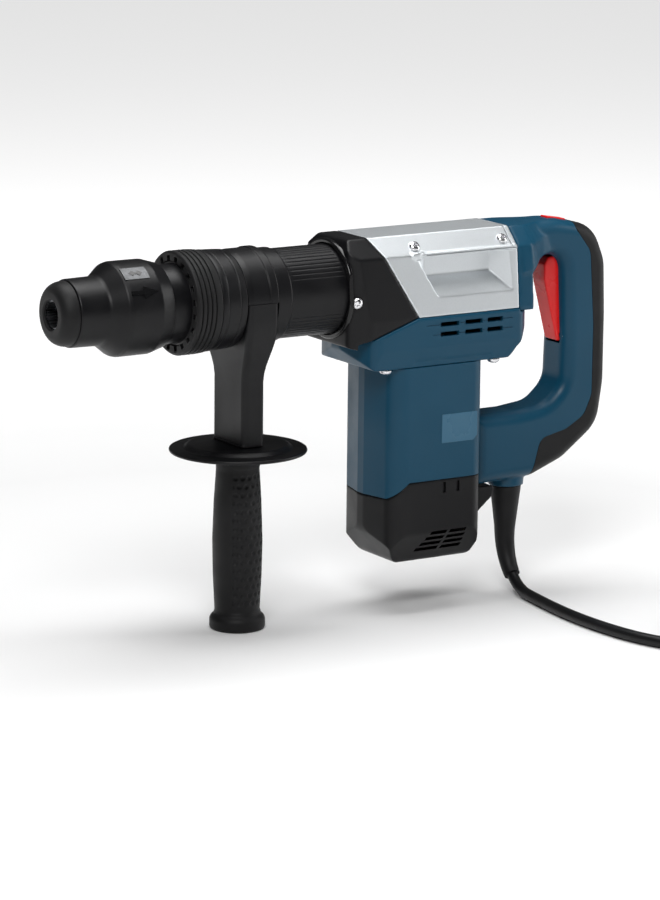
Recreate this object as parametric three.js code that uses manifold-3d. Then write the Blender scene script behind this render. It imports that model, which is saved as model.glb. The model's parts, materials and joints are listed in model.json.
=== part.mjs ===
// An electric demolition hammer, in millimetres, +Z up.
// The strike axis runs along X with the tool holder at -X, and the tool stands on the end of its side handle.
// The origin is the middle of the foot of the tool's bounding box, without its cord.
import * as THREE from 'three';
import { mergeVertices } from 'three/addons/utils/BufferGeometryUtils.js';
import Module from 'manifold-3d';

const wasm = await Module();
wasm.setup();

// ---------- driving dimensions ----------
const HALF_LENGTH = 234; // the dust cap starts at -X, the rear handle ends at +X
const AXIS_Z = 243.5; // height of the strike axis
const HANDLE_X = -82; // side handle axis
const CRANK_THROW = 14;
const PINION_TEETH = 8;
const GEAR_TEETH = 48;
const GEAR_MODULE = 1.2;
const MOTOR_X = 67;
const CRANK_X = MOTOR_X - ((PINION_TEETH + GEAR_TEETH) * GEAR_MODULE) / 2;
const SHANK_BORE_R = 9.3; // takes an 18 mm hex or round shank
const BARREL_BORE_R = 24.4;
const BODY_HALF = 37.3; // half width of the gear housing
const BODY_TOP = 281.4;
const HOUSING_SPLIT_Z = 222.6; // gear housing above, lower gearbox below
const MOTOR_TOP_Z = 185.8;
const COVER_BACK_TOP_X = 12; // slanted joint between the nose cover and the gear housing
const COVER_BACK_LOW_X = 47.7;
const COVER_FOOT_Z = 206; // the cover's lower edge at the front
const BODY_REAR_X = 136;
const GEARBOX_FRONT_X = -0.5;
const GEARBOX_REAR_X = 145.8;
const MOTOR_HALF_X = 44.5;
const MOTOR_HALF_Y = 36.5;
const CAP_FLOOR_Z = 37;
const GRIP_HALF = 18; // half width of the rear handle
const GAP = 0.3;
const CORD_D = 8.5;
const CORD_EXIT = [152, 0]; // where the lead leaves the rear handle, in X and Y
const COIL_X = 246;
const COIL_Y = -204;
const COIL_MID_R = 49;

// ---------- materials ----------
const looks = {
  blue: [0x1c4658, 0.45, 0],
  black: [0x1b1c1e, 0.6, 0],
  rubber: [0x161617, 0.85, 0],
  red: [0xc41a1e, 0.4, 0],
  aluminium: [0xb4babd, 0.45, 0.9],
  steel: [0x8d9093, 0.35, 1],
  hardSteel: [0x5d6064, 0.3, 1],
  copper: [0xa9602f, 0.4, 0.8],
  brass: [0xb5903f, 0.35, 1],
  carbon: [0x2b2b2d, 0.8, 0],
  laminate: [0x6d7072, 0.55, 0.7],
};

function material(look) {
  const [color, roughness, metalness] = looks[look];
  return new THREE.MeshStandardMaterial({ color, roughness, metalness });
}

// ---------- solids ----------
const UP = new THREE.Vector3(0, 0, 1);
// Each basis says where a drawing's two axes and its depth point.
const ALONG_X = basis([0, 1, 0], [0, 0, 1], [1, 0, 0]);
const ALONG_Y = basis([1, 0, 0], [0, 0, 1], [0, -1, 0]);
const ALONG_Z = basis([1, 0, 0], [0, 1, 0], [0, 0, 1]);

function basis(a, b, c) {
  return new THREE.Matrix4().makeBasis(
    new THREE.Vector3(...a),
    new THREE.Vector3(...b),
    new THREE.Vector3(...c)
  );
}

// A closed three.js geometry as a manifold solid, with its faces turned out.
function solid(geometry) {
  const bare = geometry.index ? geometry.toNonIndexed() : geometry.clone();
  bare.deleteAttribute('normal');
  bare.deleteAttribute('uv');
  const merged = mergeVertices(bare, 1e-4);
  const index = merged.index.array;
  const faces = [];
  for (let i = 0; i < index.length; i += 3) {
    const [a, b, c] = [index[i], index[i + 1], index[i + 2]];
    if (a !== b && b !== c && c !== a) faces.push(a, b, c);
  }
  const vertProperties = new Float32Array(merged.attributes.position.array);
  if (signedVolume(vertProperties, faces) < 0) faces.reverse();
  const triVerts = new Uint32Array(faces);
  return new wasm.Manifold(new wasm.Mesh({ numProp: 3, vertProperties, triVerts }));
}

function signedVolume(points, faces) {
  const corner = (i) => new THREE.Vector3(points[3 * i], points[3 * i + 1], points[3 * i + 2]);
  let sum = 0;
  for (let i = 0; i < faces.length; i += 3) {
    sum += corner(faces[i]).dot(corner(faces[i + 1]).cross(corner(faces[i + 2])));
  }
  return sum;
}

// A drawing from corners [x, y] or, with a fillet, [x, y, radius].
function outline(corners) {
  const shape = new THREE.Shape();
  const count = corners.length;
  corners.forEach(([x, y, radius = 0], i) => {
    const corner = new THREE.Vector2(x, y);
    const before = new THREE.Vector2(...corners[(i + count - 1) % count].slice(0, 2)).sub(corner);
    const after = new THREE.Vector2(...corners[(i + 1) % count].slice(0, 2)).sub(corner);
    const turn = Math.acos(before.dot(after) / before.length() / after.length());
    const run = radius / Math.tan(turn / 2);
    const start = corner.clone().addScaledVector(before.normalize(), run);
    const end = corner.clone().addScaledVector(after.normalize(), run);
    if (i === 0) shape.moveTo(start.x, start.y);
    else shape.lineTo(start.x, start.y);
    if (radius === 0) return;
    const inward = before.add(after).normalize();
    const middle = inward.multiplyScalar(radius / Math.sin(turn / 2)).add(corner);
    const from = Math.atan2(start.y - middle.y, start.x - middle.x);
    const to = Math.atan2(end.y - middle.y, end.x - middle.x);
    const clockwise = Math.sin(to - from) < 0;
    shape.absarc(middle.x, middle.y, radius, from, to, clockwise);
  });
  shape.closePath();
  return shape;
}

function extruded(shape, from, to, direction, arcSteps = 3) {
  const settings = { depth: to - from, bevelEnabled: false, curveSegments: arcSteps };
  const geometry = new THREE.ExtrudeGeometry(shape, settings);
  geometry.translate(0, 0, from);
  geometry.applyMatrix4(direction);
  return solid(geometry);
}

// A side view (x, z) with a half width, a cross-section (y, z) with its ends, a plan (x, y) with its ends.
const slab = (corners, half) => extruded(outline(corners), -half, half, ALONG_Y);
const bar = (corners, from, to) => extruded(outline(corners), from, to, ALONG_X);
const column = (corners, from, to) => extruded(outline(corners), from, to, ALONG_Z);

// Half of a symmetrical drawing, with the other half mirrored across its upright axis.
function bothSides(half) {
  return [...half, ...half.map(([x, ...rest]) => [-x, ...rest]).reverse()];
}

// Half of a plan at -Y, with the other half at +Y.
function bothSidesPlan(half) {
  return [...half, ...half.map(([x, y, ...radius]) => [x, -y, ...radius]).reverse()];
}

function box(low, high) {
  const size = high.map((value, i) => value - low[i]);
  const geometry = new THREE.BoxGeometry(...size);
  geometry.translate(...low.map((value, i) => value + size[i] / 2));
  return solid(geometry);
}

// A turned solid from corners [distance along the axis, radius]. A profile that stays off the axis is a ring.
function turned(corners, segments = 32) {
  const touchesAxis = corners[0][1] === 0;
  const points = corners.map(([along, radius]) => new THREE.Vector2(radius, along));
  if (!touchesAxis) points.push(points[0].clone());
  return new THREE.LatheGeometry(points, segments);
}

function turnedX(corners, segments, z = AXIS_Z) {
  const geometry = turned(corners, segments);
  geometry.rotateZ(-Math.PI / 2);
  geometry.rotateX(Math.PI / 2);
  geometry.translate(0, 0, z);
  return solid(geometry);
}

function turnedZ(corners, segments, x = 0, y = 0) {
  const geometry = turned(corners, segments);
  geometry.rotateX(Math.PI / 2);
  geometry.translate(x, y, 0);
  return solid(geometry);
}

function turnedY(corners, segments, x, z) {
  const geometry = turned(corners, segments);
  geometry.rotateY(Math.PI / 2);
  geometry.translate(x, 0, z);
  return solid(geometry);
}

const rodX = (from, to, radius, segments = 24) =>
  turnedX([[from, 0], [from, radius], [to, radius], [to, 0]], segments);
const rodZ = (from, to, radius, x, y = 0, segments = 20) =>
  turnedZ([[from, 0], [from, radius], [to, radius], [to, 0]], segments, x, y);
const rodY = (from, to, radius, x, z, segments = 16) =>
  turnedY([[from, 0], [from, radius], [to, radius], [to, 0]], segments, x, z);
const ringX = (from, to, inner, outer, segments) =>
  turnedX([[from, inner], [from, outer], [to, outer], [to, inner]], segments);
const ringZ = (from, to, inner, outer, x, y = 0, segments = 28) =>
  turnedZ([[from, inner], [from, outer], [to, outer], [to, inner]], segments, x, y);

function mirrorY(manifold) {
  return manifold.mirror([0, 1, 0]);
}

// The same cut on both sides of the tool.
function onBothSides(manifold) {
  return manifold.add(mirrorY(manifold));
}

// A round wire or hose along a curve.
function tube(curve, radius, steps, sides) {
  const section = new THREE.Shape();
  for (let i = 0; i < sides; i++) {
    const angle = (2 * Math.PI * (i + 0.5)) / sides;
    const [x, y] = [radius * Math.cos(angle), radius * Math.sin(angle)];
    if (i === 0) section.moveTo(x, y);
    else section.lineTo(x, y);
  }
  section.closePath();
  return solid(new THREE.ExtrudeGeometry(section, { steps, extrudePath: curve, bevelEnabled: false }));
}

class Helix extends THREE.Curve {
  constructor(from, to, radius, turns) {
    super();
    Object.assign(this, { from, to, radius, turns });
  }

  getPoint(t, target = new THREE.Vector3()) {
    const angle = 2 * Math.PI * this.turns * t;
    const x = this.from + (this.to - this.from) * t;
    return target.set(x, this.radius * Math.cos(angle), AXIS_Z + this.radius * Math.sin(angle));
  }
}

const hammer = new THREE.Group();

function piece(name, manifold, look) {
  const { vertProperties, triVerts } = manifold.getMesh();
  const geometry = new THREE.BufferGeometry();
  geometry.setAttribute('position', new THREE.BufferAttribute(new Float32Array(vertProperties), 3));
  geometry.setIndex(new THREE.BufferAttribute(new Uint32Array(triVerts), 1));
  geometry.computeVertexNormals();
  const mesh = new THREE.Mesh(geometry, material(look));
  mesh.name = name;
  hammer.add(mesh);
}

// ---------- front end ----------
const CAP_BACK_X = -222.2;
const NECK_X = -152;
const RING_X = -137;
const CLAMP_HALF = 12.5;
const CLAMP_SEAT_R = 31.3;

function dustCap() {
  const front = -HALF_LENGTH;
  const nose = [];
  for (let i = 0; i <= 4; i++) {
    const angle = (i * Math.PI) / 8;
    nose.push([front + 10.5 * (1 - Math.cos(angle)), 15 + 8 * Math.sin(angle)]);
  }
  const inside = [[CAP_BACK_X, 23.2], [CAP_BACK_X, 13.5], [-231.7, 13.5], [-231.7, 11.4], [front, 11.4]];
  return turnedX([...nose, ...inside]);
}

// The lock ring's inner cone lets each locking segment rise a third of the sleeve's travel.
const CONE_BACK_X = -172;
const coneRadius = (x) => 16.5 + (CONE_BACK_X - x) / 3;
const CONE_FRONT_X = -189;

function toolHolder() {
  const tubeOuter = [[-231.4, 13.2], [-221.9, 13.2], [-221.9, 16], [-155, 16], [-151, 24.1], [-119, 24.1]];
  const bore = [[-119, 15], [-168, 15], [-168, SHANK_BORE_R], [-231.4, SHANK_BORE_R]];
  const slots = box([-188.3, -3, AXIS_Z - 17], [-175.7, 3, AXIS_Z + 17]);
  return turnedX([...tubeOuter, ...bore], 32).subtract(slots);
}

function lockSegment(side) {
  const clearance = 0.6;
  const flat = 18.6;
  const slopeX = CONE_BACK_X - 3 * (flat + clearance - 16.5);
  const rear = coneRadius(-176) - clearance;
  const profile = [[-188, 6.9], [-176, 6.9], [-176, rear], [slopeX, flat], [-188, flat]];
  const corners = profile.map(([x, radius]) => [x, AXIS_Z + side * radius]);
  return slab(corners, 2.7);
}

function lockingSleeve() {
  const outside = [[-221.9, 24], [-199, 24.6], [-188.5, 33.2], [-186, 33.6], [-162, 33.6], [-151, 30.4]];
  const springRoom = [[-151, 28.9], [-171.4, 28.9], [-171.4, 25.3]];
  const ringSeat = [[-190.1, 25.3], [-190.1, 23.3], [-199.3, 23.3], [-199.3, 16.4], [-221.9, 16.4]];
  return turnedX([...outside, ...springRoom, ...ringSeat]);
}

function lockRing() {
  const cone = [CONE_FRONT_X, CONE_BACK_X].map((x) => [x, coneRadius(x)]);
  return turnedX([[-199, 22.2], ...cone, [CONE_BACK_X, 25], [-189.8, 25], [-189.8, 23], [-199, 23]], 32);
}

function positionRing() {
  const outside = [[RING_X, 30.3], [RING_X, 36]];
  for (let i = 0; i < 4; i++) {
    const start = RING_X + 0.8 + i * 5;
    outside.push([start, 37.3], [start + 3.4, 37.3], [start + 4, 36]);
  }
  const back = -115.8;
  return turnedX([...outside, [back, 36.6], [back, 30.3]]);
}

function barrelHousing() {
  const back = HANDLE_X + CLAMP_HALF + 0.7;
  const front = [[NECK_X, 28.4], [-136, 28.4], [-136, 29.9], [-115.3, 29.9], [-115.3, 36.2], [-95.2, 35.4]];
  const clampSeat = [[-95.2, CLAMP_SEAT_R], [back, CLAMP_SEAT_R]];
  const rear = [[back, 34], [-58, 34], [-57, 32.5], [-8.6, 32.5], [-8.6, 30], [2, 30]];
  return turnedX([...front, ...clampSeat, ...rear, [2, BARREL_BORE_R], [NECK_X, BARREL_BORE_R]]);
}

// ---------- hammer mechanism ----------
const CYLINDER_R = 20;
const WRIST_X = -38;
const CRANK_PIN_X = CRANK_X - CRANK_THROW;
const ROD_HALF = 3;

function boltGuide() {
  return ringX(-150, -124, 9.3, 14.7, 24);
}

function impactBolt() {
  const front = [[-167, 0], [-167, 6], [-165, 8], [-154, 8]];
  return turnedX([...front, [-151, 8.9], [-114, 8.9], [-112, 7], [-112, 0]], 20);
}

function striker() {
  const body = [[-103, 0], [-103, 8], [-100, 9.5], [-94, 9.5], [-90, 19.6], [-80.2, 19.6], [-80.2, 17.8]];
  return turnedX([...body, [-76.8, 17.8], [-76.8, 19.6], [-66, 19.6], [-64, 17.6], [-64, 0]], 28);
}

const seal = (from, to) => ringX(from, to, 18, 19.8, 28);

function piston() {
  const crown = [[-56, 0], [-56, 19.2], [-55, 19.6], [-52.2, 19.6]];
  const sealGroove = [[-52.2, 17.8], [-48.8, 17.8], [-48.8, 19.6]];
  const blank = turnedX([...crown, ...sealGroove, [-25, 19.6], [-25, 15], [-46.6, 15], [-46.6, 0]], 28);
  return blank.subtract(rodZ(AXIS_Z - 22, AXIS_Z + 22, 4.3, WRIST_X, 0, 16));
}

function wristPin() {
  return rodZ(AXIS_Z - 18.6, AXIS_Z + 18.6, 4, WRIST_X, 0, 16);
}

function connectingRod() {
  const [low, high] = [AXIS_Z - ROD_HALF, AXIS_Z + ROD_HALF];
  const eye = (x, radius) => rodZ(low, high, radius, x, 0, 20);
  const hole = (x, radius) => rodZ(low - 6, high + 6, radius, x, 0, 16);
  const shank = column([[WRIST_X, -5], [CRANK_PIN_X, -6], [CRANK_PIN_X, 6], [WRIST_X, 5]], low, high);
  const blank = shank.add(eye(WRIST_X, 8)).add(eye(CRANK_PIN_X, 10));
  return blank.subtract(hole(WRIST_X, 4.3)).subtract(hole(CRANK_PIN_X, 5.3));
}

const CRANK_DISC_TOP = 235;

function crankPin() {
  return rodZ(CRANK_DISC_TOP + GAP, AXIS_Z + 5, 5, CRANK_PIN_X, 0, 16);
}

function crankShaft() {
  const shaft = [[190, 0], [190, 8.4], [217, 8.4], [217, 12], [228, 12]];
  return turnedZ([...shaft, [228, 21.5], [CRANK_DISC_TOP, 21.5], [CRANK_DISC_TOP, 0]], 28, CRANK_X);
}

// A spur gear's plan, with straight-sided teeth and the given angle of its first tooth.
function gearPlan(teeth, firstAngle, clearance) {
  const pitch = (teeth * GEAR_MODULE) / 2;
  const step = (2 * Math.PI) / teeth;
  const tooth = [[-0.34, -1.25], [-0.13, 0.95], [0.13, 0.95], [0.34, -1.25]];
  const shape = new THREE.Shape();
  for (let i = 0; i < teeth; i++) {
    for (const [across, high] of tooth) {
      const radius = pitch + high * GEAR_MODULE;
      const angle = firstAngle + (i + across * clearance) * step;
      const [x, y] = [radius * Math.cos(angle), radius * Math.sin(angle)];
      if (i === 0 && across === -0.34) shape.moveTo(x, y);
      else shape.lineTo(x, y);
    }
  }
  shape.closePath();
  return shape;
}

const GEAR_LOW_Z = 207;
const GEAR_TOP_Z = 215;

function crankGear() {
  const gear = extruded(gearPlan(GEAR_TEETH, 0, 0.8), GEAR_LOW_Z, GEAR_TOP_Z, ALONG_Z);
  return gear.translate([CRANK_X, 0, 0]).subtract(rodZ(200, 220, 8.7, CRANK_X));
}

// ---------- motor ----------
function armatureShaft() {
  const shaft = turnedZ([[52, 0], [52, 3.8], [197, 3.8], [197, 3], [206, 3], [206, 0]], 16, MOTOR_X);
  const facingGap = Math.PI + Math.PI / PINION_TEETH;
  const pinion = extruded(gearPlan(PINION_TEETH, facingGap, 0.8), 205, 217, ALONG_Z);
  return shaft.add(pinion.translate([MOTOR_X, 0, 0]));
}

function coolingFan() {
  let fan = turnedZ([[173, 4.1], [173, 30.5], [174.6, 30.5], [174.6, 9], [182, 9], [182, 4.1]], 24, MOTOR_X);
  for (let i = 0; i < 9; i++) {
    const blade = box([8.5, -0.7, 174], [30, 0.7, 182]).rotate([0, 0, i * 40]);
    fan = fan.add(blade.translate([MOTOR_X, 0, 0]));
  }
  return fan;
}

function statorCore() {
  const corners = [[-33, -31, 12], [33, -31, 12], [33, 31, 12], [-33, 31, 12]];
  const blank = column(corners, 112, 160).translate([MOTOR_X, 0, 0]);
  return blank.subtract(rodZ(100, 170, 23, MOTOR_X, 0, 28));
}

// The brushes sit in front of and behind the commutator.
function brushHolder(side) {
  const sleeve = box([15.5, -5.6, 79], [34, 5.6, 93]).subtract(box([10, -4, 81], [40, 4, 91]));
  return placeBrush(sleeve, side);
}

function carbonBrush(side) {
  return placeBrush(box([13.3, -3.7, 81.3], [30, 3.7, 90.7]), side);
}

function placeBrush(manifold, side) {
  return manifold.rotate([0, 0, side > 0 ? 0 : 180]).translate([MOTOR_X, 0, 0]);
}

function bearingPlate() {
  const corners = [[8.5, -33.5, 12], [106, -33.5, 12], [106, 33.5, 12], [8.5, 33.5, 12]];
  const blank = column(corners, 189.4, 196);
  return blank.subtract(rodZ(180, 200, 15.3, CRANK_X)).subtract(rodZ(180, 200, 11.3, MOTOR_X));
}

// ---------- housings ----------
const upperSection = (inset) => {
  const half = BODY_HALF - inset;
  const lower = [[half, HOUSING_SPLIT_Z - 30], [half, HOUSING_SPLIT_Z]];
  return bothSides([...lower, [half - 4, 268], [20 - inset * 0.4, BODY_TOP - inset]]);
};

function coverBackX(z, offset = 0) {
  const slope = (COVER_BACK_LOW_X - COVER_BACK_TOP_X) / (BODY_TOP - HOUSING_SPLIT_Z);
  return COVER_BACK_TOP_X + (BODY_TOP - z) * slope + offset;
}

function gearCover() {
  const frontX = -8.3;
  const corner = [[frontX, -31, 4], [6, -BODY_HALF, 6], [60, -BODY_HALF]];
  const chinX = GEARBOX_FRONT_X - 0.7;
  const side = [
    [frontX, 204, 2.5], [chinX, 202.2], [chinX, COVER_FOOT_Z], [COVER_BACK_LOW_X, HOUSING_SPLIT_Z],
    [COVER_BACK_TOP_X, BODY_TOP], [-4, BODY_TOP, 3], [frontX, 274, 3],
  ];
  const plan = bothSidesPlan(corner);
  const blank = slab(side, 60).intersect(bar(upperSection(0), -20, 60)).intersect(column(plan, 180, 300));
  const roomPlan = bothSidesPlan([[-3.3, -29.8], [7, -34.1], [80, -34.1]]);
  const room = bar(upperSection(3.2), -3.3, 80).intersect(column(roomPlan, 180, 300));
  return blank.subtract(room).subtract(rodX(-20, 0, 30.3, 32));
}

// The crank mechanism's room is full width behind the cover and narrow between the two side pockets.
function gearHousing() {
  const front = GAP + 0.1;
  const side = [
    [coverBackX(BODY_TOP, front), BODY_TOP], [coverBackX(HOUSING_SPLIT_Z, front), HOUSING_SPLIT_Z],
    [BODY_REAR_X - GAP, HOUSING_SPLIT_Z], [BODY_REAR_X - GAP, BODY_TOP],
  ];
  const blank = slab(side, 60).intersect(bar(upperSection(0), 0, 150));
  const wideSide = [[0, 278], [coverBackX(278, 22), 278], [coverBackX(200, 22), 200], [0, 200]];
  const wide = bar(upperSection(3.2), -10, 140).intersect(slab(wideSide, 60));
  const halfSection = [[34, 200], [34, 230], [20, 247], [20, 268], [15, 277.5]];
  const narrow = bar(bothSides(halfSection), 0, 132);
  return blank.subtract(wide).subtract(narrow).subtract(onBothSides(sidePocket()));
}

// A pocket under the lid, with a sloping floor and a slanted rear wall. A post carries the front screw.
function sidePocket() {
  const [top, foot, depthY] = [266.5, 235, 23.5];
  const front = [[coverBackX(top, 26), top, 2], [coverBackX(foot, 26), foot, 2]];
  const view = [...front, [131, foot, 2], [131, top, 2]];
  const section = [[depthY, top], [depthY, 250.5], [BODY_HALF, foot], [50, foot], [50, top]];
  const plan = [[0, depthY], [117, depthY], [132, BODY_HALF], [132, 60], [0, 60]];
  const post = rodZ(240, 280, 5.4, FRONT_SCREW_X, 29);
  return slab(view, 60).intersect(bar(section, 0, 200)).intersect(column(plan, 200, 300)).subtract(post);
}

const FRONT_SCREW_X = 48.6;
const VENT_STARTS = [66, 87.5, 107];
const VENT_ROWS = [216.2, 209];

function lowerGearbox() {
  const half = 38.2;
  const rearX = GEARBOX_REAR_X;
  const side = [
    [GEARBOX_FRONT_X, 186, 5], [127.5, 186, 4], [rearX - 0.5, 206, 4], [rearX, 219.6], [BODY_REAR_X, 219.6],
    [BODY_REAR_X, HOUSING_SPLIT_Z - GAP], [COVER_BACK_LOW_X, HOUSING_SPLIT_Z - GAP],
    [GEARBOX_FRONT_X, COVER_FOOT_Z - GAP],
  ];
  const front = [[GEARBOX_FRONT_X, -11, 5], [9, -half, 8]];
  const plan = bothSidesPlan([...front, [rearX - 8, -half, 8], [rearX, -30, 4]]);
  const roomPlan = bothSidesPlan([[2.2, -10], [11, -34.8], [rearX - 7, -34.8], [rearX - 3.5, -29]]);
  const roomSide = [[0, 189.1], [125.9, 189.1], [rearX - 3.5, 207.4], [rearX - 3.5, 240], [0, 240]];
  const room = column(roomPlan, 180, 240).intersect(slab(roomSide, 60));
  const motorWay = column([[26, -32, 8], [108, -32, 8], [108, 32, 8], [26, 32, 8]], 180, 200);
  let shell = slab(side, 60).intersect(column(plan, 180, 230)).subtract(room).subtract(motorWay);
  for (const x of VENT_STARTS) {
    for (const z of VENT_ROWS) {
      shell = shell.subtract(box([x, -60, z - 1.8], [x + 16, 60, z + 1.8]));
    }
  }
  return shell;
}

function motorPlan(inset) {
  const [x, y] = [MOTOR_HALF_X - inset, MOTOR_HALF_Y - inset];
  return [
    [-x, -11, 5], [6 - x, -y, 7], [x - 6, -y, 7], [x, -11, 5], [x, 11, 5], [x - 6, y, 7], [6 - x, y, 7], [-x, 11, 5],
  ].map(([px, ...rest]) => [px + MOTOR_X, ...rest]);
}

// The joint between motor housing and cap steps up behind the front corners.
const SEAM_LOW_Z = 88;
const SEAM_HIGH_Z = 100;

function seam(offset) {
  const [low, high] = [SEAM_LOW_Z + offset, SEAM_HIGH_Z + offset];
  return [[10, low], [28, low], [42, high], [130, high]];
}

function motorHousing() {
  const side = [...seam(GAP), [130, MOTOR_TOP_Z], [10, MOTOR_TOP_Z]];
  return column(motorPlan(0), 80, 200).subtract(column(motorPlan(3), 70, 210)).intersect(slab(side, 60));
}

function motorCap() {
  const rearX = MOTOR_X + MOTOR_HALF_X;
  const side = [[38, CAP_FLOOR_Z], [104, CAP_FLOOR_Z], [rearX, 60], [rearX, 110], [22.5, 110], [22.5, 63]];
  const halfSection = [[22, CAP_FLOOR_Z], [MOTOR_HALF_Y, 61], [MOTOR_HALF_Y, 110]];
  const inSide = [[41, 41], [101, 41], [rearX - 3, 62], [rearX - 3, 120], [25.5, 120], [25.5, 65]];
  const inSection = bothSides([[20, 41], [33.5, 63], [33.5, 120]]);
  const section = bar(bothSides(halfSection), 0, 140);
  const blank = column(motorPlan(0), 30, 110).intersect(slab(side, 60)).intersect(section);
  const room = column(motorPlan(3), 30, 120).intersect(slab(inSide, 60)).intersect(bar(inSection, 0, 140));
  const lug = slab([[rearX - 2, 84.4], [133, 84.4], [131, 76], [113, 61], [rearX - 2, 61]], 13);
  const bearingSeat = ringZ(39, 66, 11.3, 14.5, MOTOR_X);
  const trim = slab([...seam(0), [130, 130], [10, 130]], 60);
  return blank.subtract(room).add(lug).add(bearingSeat).subtract(trim).subtract(onBothSides(grille()));
}

// Four rows of two air slots, on the cap's sloping side.
function grille() {
  let slots = null;
  for (let row = 0; row < 4; row++) {
    for (const [from, to] of [[62 - 2 * row, 76], [79, 96]]) {
      const z = 57 - 4.2 * row;
      const slot = box([from, 15, z - 1.1], [to, 45, z + 1.1]);
      slots = slots ? slots.add(slot) : slot;
    }
  }
  return slots;
}

// ---------- rear handle ----------
// The D of the rear handle in side view. The inset moves every edge inwards.
function handleForm(inset) {
  const frontX = MOTOR_X + MOTOR_HALF_X + 0.6;
  const side = [
    [BODY_REAR_X + 0.3, 281], [183, 281.5, 60], [222, 274, 26], [233, 250, 30], [HALF_LENGTH, 210, 60],
    [HALF_LENGTH, 155, 60], [230, 122, 24], [196, 98, 20], [165, 87.5, 30], [frontX, 85.8], [frontX, 138.8],
    [150, 139, 30], [176, 142, 22], [191.5, 156, 18], [192.5, 190, 20], [189, 254.8, 12], [BODY_REAR_X + 0.3, 256],
  ];
  const bevel = 8;
  const settings = {
    depth: 2 * (GRIP_HALF - inset - bevel),
    bevelThickness: bevel,
    bevelSize: bevel,
    bevelOffset: -bevel - inset,
    bevelSegments: 3,
    curveSegments: 2,
  };
  const geometry = new THREE.ExtrudeGeometry(outline(side), settings);
  geometry.translate(0, 0, inset + bevel - GRIP_HALF);
  geometry.applyMatrix4(ALONG_Y);
  return solid(geometry);
}

// The handle's foot on the gear housing, which narrows to the top arm.
function handleRoot(inset) {
  const side = [
    [BODY_REAR_X + 0.3, 220 + inset], [149.5 - inset, 220 + inset], [149.5 - inset, 246, 8], [163, 257 + inset, 8],
    [178, 257 + inset], [178, 281.2 - inset], [BODY_REAR_X + 0.3, 281.2 - inset],
  ];
  const half = 36.8 - inset;
  const plan = bothSidesPlan([[BODY_REAR_X, -half], [149.5, -half, 6], [178, 8 - GRIP_HALF]]);
  return slab(side, 60).intersect(column(plan, 200, 300)).intersect(bar(upperSection(0.4 + inset), 130, 180));
}

const cordSocket = (radius, low) => rodZ(low, 96, radius, CORD_EXIT[0], CORD_EXIT[1], 24);

// The soft grip covers the back of the D, from the top arm round to the lower arm.
function softGripRegion(offset) {
  const border = [
    [203 - offset, 300], [203 - offset, 272, 10], [213.5 - offset, 250, 20], [218 - offset, 200, 60],
    [218 - offset, 146, 20], [210 - offset, 131, 14], [194 - offset, 122, 14], [171 - offset, 117, 10], [161 - offset, 80],
  ];
  return slab([...border, [250, 80], [250, 300]], 40);
}

function handleBody() {
  const skin = softGripRegion(GAP).subtract(handleForm(3.1));
  const hollow = slab(
    [
      [150, 273], [198, 273, 20], [219, 266, 18], [226, 240, 30], [226.5, 150, 30], [221, 128, 12], [190, 103, 20],
      [165, 95, 20], [125, 94], [125, 131], [152, 131, 30], [184, 135, 22], [199, 155, 20], [199, 264], [150, 264],
    ],
    13
  );
  const trigger = box([170, -8.6, 186], [200, 8.6, 256]);
  const button = box([178.8, -6, 268], [201.2, 6, 300]);
  return handleForm(0)
    .add(handleRoot(0))
    .add(cordSocket(13.5, 81))
    .subtract(skin)
    .subtract(hollow)
    .subtract(trigger)
    .subtract(button)
    .subtract(cordSocket(8.6, 70))
    .subtract(rodY(-12.3, 12.3, 2.3, 195, 192, 12));
}

function handleHalf(side) {
  const half = box([100, GAP / 2, 60], [260, 60, 300]);
  return handleBody().intersect(side > 0 ? half : mirrorY(half));
}

function softGrip() {
  return handleForm(0).subtract(handleForm(2.8)).intersect(softGripRegion(0));
}

function triggerKey() {
  const top = [[178, 247, 3], [181, 252.5, 4], [190, 253, 2], [199, 250]];
  const key = slab([...top, [199, 193], [196.5, 188], [190.6, 188, 1], [178.4, 234, 20]], 8.2);
  return key.subtract(rodY(-12, 12, 2.3, 195, 192, 12));
}

const triggerPin = () => rodY(-12, 12, 2, 195, 192, 12);

function switchBlock() {
  const plunger = [[208, 226], [206.6, 226], [206.6, 216], [208, 216]];
  return slab([[208, 196], [222, 196], [222, 244], [208, 244], ...plunger], 9);
}

function lockButton() {
  return slab([[179.2, 277], [200.8, 272], [200.8, 279.8, 1], [179.2, 282.6, 1]], 5.6);
}

// ---------- side handle ----------
function clampBand() {
  const ring = ringX(HANDLE_X - CLAMP_HALF, HANDLE_X + CLAMP_HALF, CLAMP_SEAT_R + GAP, 34.2);
  return ring.intersect(box([-120, -60, AXIS_Z + 0.2], [-40, 60, 300]));
}

function handleStem() {
  const halfFront = [[35.5, AXIS_Z - 0.1], [35.5, 222, 8], [27, 200, 12], [21, 182, 20], [21, 138, 3]];
  const halfSide = [[CLAMP_HALF, 260], [CLAMP_HALF, 212, 10], [8.6, 182, 20], [8.6, 130]];
  const side = slab(bothSides(halfSide), 60).translate([HANDLE_X, 0, 0]);
  const blank = bar(bothSides(halfFront), -110, -50).intersect(side);
  const boltRoom = rodZ(120, 200, 4.5, HANDLE_X).add(rodZ(196, 230, 7.4, HANDLE_X));
  return blank.subtract(rodX(-110, -50, CLAMP_SEAT_R + GAP, 32)).subtract(boltRoom);
}

function clampBolt() {
  return turnedZ([[100, 0], [100, 4], [196.4, 4], [196.4, 7], [203, 7], [203, 0]], 16, HANDLE_X);
}

function guardDisc() {
  const profile = [[131.2, 4.8], [131.2, 49], [132.4, 50], [133.8, 49.4], [134.6, 34], [137, 29], [137, 4.8]];
  return turnedZ(profile, 40, HANDLE_X);
}

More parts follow.
